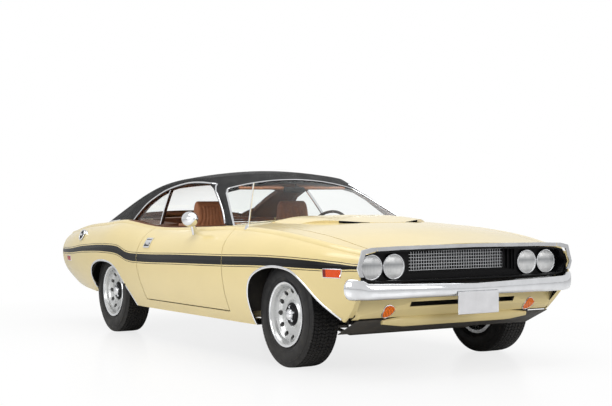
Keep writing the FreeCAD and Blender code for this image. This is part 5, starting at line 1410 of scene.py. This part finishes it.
class CAR_OT_seats(bpy.types.Operator):
    """Replaces the plain seats with pleated ones"""

    bl_idname = "car.seats"
    bl_label = "Seats"

    def execute(self, context):
        seats = settings_of(context, "seats")
        pitch, depth = seats.channel_pitch, seats.channel_depth
        cushion = closed_curve([
            (-0.415, 0.395), (-0.200, 0.400), (0.040, 0.412), (0.082, 0.430), (0.090, 0.465), (0.072, 0.498),
            (0.030, 0.512), (-0.120, 0.498), (-0.300, 0.482), (-0.400, 0.470), (-0.425, 0.430),
        ], 6)
        back = closed_curve([
            (-0.405, 0.415), (-0.345, 0.420), (-0.318, 0.450), (-0.330, 0.560), (-0.350, 0.700), (-0.370, 0.840),
            (-0.385, 0.960), (-0.402, 1.030), (-0.430, 1.058), (-0.462, 1.050), (-0.482, 1.000), (-0.498, 0.900),
            (-0.495, 0.720), (-0.470, 0.560), (-0.430, 0.440),
        ], 6)

        def narrowing(z):
            """Width of the backrest at a height, as a share; it narrows to its headrest."""
            if z < 0.80:
                return 1.0
            return 1.0 - 0.40 * min(1.0, (z - 0.80) / 0.13) ** 1.3

        def pad(name, outline, y, half, roll, pitch, depth, face, width=None, stands_for=None):
            """Stuffed piece in tan vinyl."""
            bm = bmesh.new()
            stuffed(bm, outline, y, half, roll, pitch, depth, face, width)
            piece = finish_piece(name, bm, "tan_vinyl", "car", angle=60)
            if stands_for:
                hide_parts(stands_for)

        for side_name, side in SIDES:
            y = side * 0.375
            pad(f"seat_cushion_{side_name}", cushion, y, 0.208, 0.034, pitch, depth,
                lambda x, z: z > 0.468 and -0.33 < x < 0.03)
            pad(f"seat_back_{side_name}", back, y, 0.205, 0.036, pitch, depth,
                lambda x, z: x > -0.40 and (0.50 < z < 0.82 or 0.88 < z < 1.02), narrowing, "front_seats")
            bm = bmesh.new()
            block(bm, (-0.375, y - 0.165, 0.2825), (0.035, y + 0.165, 0.405), 0.012)
            block(bm, (-0.470, y - 0.2115, 0.42), (-0.330, y - 0.2055, 0.50), 0.002)
            block(bm, (-0.470, y + 0.2055, 0.42), (-0.330, y + 0.2115, 0.50), 0.002)
            finish_piece(f"seat_base_{side_name}", bm, "dash_plastic", "car")

        bench = closed_curve([
            (-0.930, 0.545), (-0.760, 0.535), (-0.620, 0.500), (-0.592, 0.460), (-0.588, 0.530), (-0.602, 0.580),
            (-0.650, 0.600), (-0.780, 0.598), (-0.915, 0.590),
        ], 5)
        rest = closed_curve([
            (-1.050, 0.545), (-0.960, 0.550), (-0.880, 0.585), (-0.892, 0.640), (-0.925, 0.760), (-0.950, 0.845),
            (-0.975, 0.874), (-1.030, 0.878), (-1.068, 0.862), (-1.070, 0.700),
        ], 5)
        bench_pitch, bench_depth = 0.0850, depth * 1.3
        pad("rear_cushion", bench, 0.0, 0.595, 0.036, bench_pitch, bench_depth, lambda x, z: z > 0.575)
        pad("rear_backrest", rest, 0.0, 0.595, 0.036, bench_pitch, bench_depth,
            lambda x, z: x > -0.97 and 0.60 < z < 0.83, stands_for="rear_seat")
        return {"FINISHED"}


class CAR_OT_cabin(bpy.types.Operator):
    """Adds the door cards, the sun visors, the inside mirror and the dials"""

    bl_idname = "car.cabin"
    bl_label = "Cabin"

    def execute(self, context):
        for side_name, side in SIDES:
            body = BODY_OF[f"door_{side_name}"]

            def beside(low, high, edge=0.003):
                y1, y2 = sorted((low[1] * side, high[1] * side))
                block(bm, (low[0], y1, low[2]), (high[0], y2, high[2]), edge)

            bm = bmesh.new()
            beside((-0.500, 0.7345, 0.420), (0.600, 0.7448, 0.862), 0.004)
            for count in range(11):
                x = -0.440 + count * 0.090
                beside((x, 0.7305, 0.520), (x + 0.082, 0.7360, 0.640), 0.0025)
            beside((-0.260, 0.6900, 0.655), (0.160, 0.7360, 0.705), 0.014)
            finish_piece(f"door_card_{side_name}", bm, "tan_vinyl", body)
            bm = bmesh.new()
            beside((-0.480, 0.7325, 0.735), (0.580, 0.7350, 0.741), 0.001)
            beside((0.230, 0.7230, 0.675), (0.330, 0.7290, 0.688), 0.002)
            beside((0.225, 0.7230, 0.670), (0.245, 0.7350, 0.693), 0.002)
            beside((0.400, 0.7180, 0.560), (0.412, 0.7240, 0.650), 0.002)
            beside((0.396, 0.7180, 0.555), (0.416, 0.7350, 0.575), 0.002)
            finish_piece(f"door_fittings_{side_name}", bm, "chrome", body)

            bm = bmesh.new()
            block(bm, (-0.075, -0.190, -0.009), (0.075, 0.190, 0.009), 0.007, 3)
            bmesh.ops.transform(bm, matrix=tilted((0.165, side * 0.270, 1.172), 21), verts=bm.verts)
            finish_piece(f"sun_visor_{side_name}", bm, "tan_cloth", "car")

        hung = tilted((0.235, 0, 1.138), -8)
        bm = bmesh.new()
        block(bm, (-0.012, -0.090, -0.020), (0.010, 0.090, 0.020), 0.007, 3)
        bmesh.ops.transform(bm, matrix=hung, verts=bm.verts)
        stalk = [(Vector((x, 0, z)), Vector((0, 1, 0))) for x, z in ((0.240, 1.140), (0.262, 1.165), (0.262, 1.186))]
        turns = [math.radians(45 * k) for k in range(8)]
        sweep(bm, [(0.005 * math.cos(turn), 0.005 * math.sin(turn)) for turn in turns], stalk)
        finish_piece("inside_mirror", bm, "black_paint", "car")
        bm = bmesh.new()
        block(bm, (-0.0135, -0.084, -0.015), (-0.0115, 0.084, 0.015), 0.0006)
        bmesh.ops.transform(bm, matrix=hung, verts=bm.verts)
        finish_piece("inside_mirror_glass", bm, "chrome", "car")

        face_out = Vector((-0.97, 0, -0.23)).normalized()
        slope = Vector((-0.23, 0, 0.97)).normalized()
        bm_ring = bmesh.new()
        bm_face = bmesh.new()
        for y, radius in ((0.225, 0.030), (0.305, 0.044), (0.420, 0.044), (0.500, 0.030)):
            centre = Vector((0.3256, y, 0.83))
            ring = [(-0.002, 0.0), (0.0, 0.004), (0.005, 0.003), (0.006, 0.0), (0.002, -0.003)]
            turned(bm_ring, [(along, radius + grow) for along, grow in ring], centre, face_out, 36)
            disc = [(-0.001, 0.0), (-0.001, radius - 0.001), (0.0012, radius - 0.001), (0.0012, 0.0)]
            turned(bm_face, disc, centre, face_out, 36)
            for tick in range(9):
                angle = math.radians(-30 + tick * 30)
                outwards = slope * math.sin(angle) + Vector((0, 1, 0)) * math.cos(angle)
                spot = centre + outwards * radius * 0.78 + face_out * 0.0016
                bmesh.ops.create_cube(bm_ring, size=0.004, matrix=Matrix.Translation(spot))
        finish_piece("dial_rings", bm_ring, "chrome", "car")
        finish_piece("dial_faces", bm_face, "black_paint", "car")
        return {"FINISHED"}


# Camera: place, then yaw, pitch and roll in radians, focal length in mm and shift as shares of the sensor
CAMERA_PLACE = (8.3057, -4.7432, 1.0049)
CAMERA_TURN = (0.5536, -0.0005, -0.0069)
CAMERA_LENS = 72.92
CAMERA_SHIFT = (-0.02596, 0.00627)


class CAR_OT_stage(bpy.types.Operator):
    """Sets the floor, the backdrop, the lamps and the camera"""

    bl_idname = "car.stage"
    bl_label = "Stage"

    def execute(self, context):
        stage = settings_of(context, "stage")
        scene = context.scene
        finish, wires, shader, place = new_finish("floor_paint", Roughness=0.22, Specular_IOR_Level=0.4)
        cloud = wires.add("ShaderNodeTexNoise", {"Vector": place, "Scale": 0.6, "Detail": 4.0})
        tone = wires.mix(cloud.outputs["Fac"], rgba(stage.floor_colour), rgba([c * 0.985 for c in stage.floor_colour]))
        feed(wires, shader, Base_Color=tone)
        rays = wires.add("ShaderNodeLightPath")
        seen = wires.any(rays.outputs["Is Camera Ray"], rays.outputs["Is Transmission Ray"])
        oval = wires.add("ShaderNodeVectorMath", {0: place, 1: (0.62, 1.0, 1.0)}, operation="MULTIPLY")
        spot = wires.add("ShaderNodeVectorMath", {0: oval.outputs[0]}, operation="LENGTH")
        reach = wires.remap(spot.outputs["Value"], 1.1, 3.2, 0.78, 1.0)
        glow = wires.add("ShaderNodeEmission", {"Color": (1, 1, 1, 1), "Strength": 1.0})
        blend = wires.add("ShaderNodeMixShader", {0: wires.math("MULTIPLY", seen, reach)})
        sink = finish.node_tree.nodes["Material Output"]
        wires.tree.links.new(shader.outputs[0], blend.inputs[1])
        wires.tree.links.new(glow.outputs[0], blend.inputs[2])
        wires.tree.links.new(blend.outputs[0], sink.inputs["Surface"])
        bm = bmesh.new()
        bmesh.ops.create_grid(bm, x_segments=4, y_segments=4, size=60.0)
        mesh = bpy.data.meshes.new("studio_floor")
        bm.to_mesh(mesh)
        bm.free()
        mesh.materials.append(finish)
        floor = bpy.data.objects.new("studio_floor", mesh)
        scene.collection.objects.link(floor)

        world = bpy.data.worlds.new("studio_light")
        world.use_nodes = True
        scene.world = world
        sky = Wiring(world.node_tree)
        for node in list(world.node_tree.nodes):
            world.node_tree.nodes.remove(node)
        rays = sky.add("ShaderNodeLightPath")
        mirrored = sky.math("MULTIPLY", rays.outputs["Is Glossy Ray"], 0.72)
        clear = sky.any(rays.outputs["Is Camera Ray"], rays.outputs["Is Transmission Ray"], mirrored)
        dim = sky.add("ShaderNodeBackground", {"Color": (1, 1, 1, 1), "Strength": 0.36})
        white = sky.add("ShaderNodeBackground", {"Color": (1, 1, 1, 1), "Strength": 1.0})
        blend = sky.add("ShaderNodeMixShader", {0: clear})
        sink = sky.add("ShaderNodeOutputWorld")
        sky.tree.links.new(dim.outputs[0], blend.inputs[1])
        sky.tree.links.new(white.outputs[0], blend.inputs[2])
        sky.tree.links.new(blend.outputs[0], sink.inputs["Surface"])

        for name, power, size, spot, aim in (
            ("overhead_panel", stage.lamp_power, (7.0, 4.5), (0.6, 0.0, 5.2), (0.3, 0, 0.5)),
            ("side_panel", stage.lamp_power * 0.55, (6.0, 2.5), (1.5, -6.5, 2.6), (0.2, 0, 0.6)),
            ("nose_panel", stage.lamp_power * 0.35, (4.0, 2.5), (8.0, 1.5, 3.0), (1.5, 0, 0.6)),
        ):
            lamp = bpy.data.lights.new(name, "AREA")
            lamp.shape = "RECTANGLE"
            lamp.size, lamp.size_y = size
            lamp.energy = power
            holder = bpy.data.objects.new(name, lamp)
            scene.collection.objects.link(holder)
            holder.location = spot
            holder.rotation_euler = (Vector(aim) - Vector(spot)).to_track_quat("-Z", "Y").to_euler()

        yaw, pitch, roll = CAMERA_TURN
        looking = Vector((-math.cos(pitch) * math.cos(yaw), math.cos(pitch) * math.sin(yaw), -math.sin(pitch)))
        right = looking.cross(Vector((0, 0, 1))).normalized()
        upward = right.cross(looking)
        turned_right = right * math.cos(roll) + upward * math.sin(roll)
        turned_up = upward * math.cos(roll) - right * math.sin(roll)
        lens = bpy.data.cameras.new("photo_camera")
        lens.sensor_width = 36.0
        lens.lens = CAMERA_LENS
        lens.shift_x, lens.shift_y = CAMERA_SHIFT
        camera = bpy.data.objects.new("photo_camera", lens)
        matrix = Matrix((turned_right, turned_up, -looking)).transposed().to_4x4()
        matrix.translation = CAMERA_PLACE
        camera.matrix_world = matrix
        scene.collection.objects.link(camera)
        scene.camera = camera
        scene.view_settings.view_transform = "Standard"
        return {"FINISHED"}


STEPS = (
    CAR_OT_paint, CAR_OT_quarter_corners, CAR_OT_side_strips, CAR_OT_screen_strips, CAR_OT_bumper, CAR_OT_fittings,
    CAR_OT_tyres, CAR_OT_wheels, CAR_OT_seats, CAR_OT_cabin, CAR_OT_stage,
)
GROUPS = {
    "paint": PaintSettings, "trim": TrimSettings, "wheels": WheelSettings, "seats": SeatSettings,
    "stage": StageSettings,
}


class CAR_PT_dressing(bpy.types.Panel):
    """Lists the settings and the steps in their order"""

    bl_idname = "CAR_PT_dressing"
    bl_label = "Muscle Car"
    bl_space_type = "VIEW_3D"
    bl_region_type = "UI"
    bl_category = "Car"

    def draw(self, context):
        for name, group in GROUPS.items():
            column = self.layout.column(align=True)
            for label in group.__annotations__:
                column.prop(settings_of(context, name), label)
        for step in STEPS:
            self.layout.operator(step.bl_idname)


CLASSES = (*GROUPS.values(), *STEPS, CAR_PT_dressing)


def register():
    for item in CLASSES:
        bpy.utils.register_class(item)
    for name, group in GROUPS.items():
        setattr(bpy.types.Scene, f"car_{name}", bpy.props.PointerProperty(type=group))


def unregister():
    for name in GROUPS:
        delattr(bpy.types.Scene, f"car_{name}")
    for item in reversed(CLASSES):
        bpy.utils.unregister_class(item)


def main():
    """Runs every step in order."""
    register()
    bpy.ops.car.paint()
    bpy.ops.car.quarter_corners()
    bpy.ops.car.side_strips()
    bpy.ops.car.screen_strips()
    bpy.ops.car.bumper()
    bpy.ops.car.fittings()
    bpy.ops.car.tyres()
    bpy.ops.car.wheels()
    bpy.ops.car.seats()
    bpy.ops.car.cabin()
    bpy.ops.car.stage()


if __name__ == "__main__":
    main()
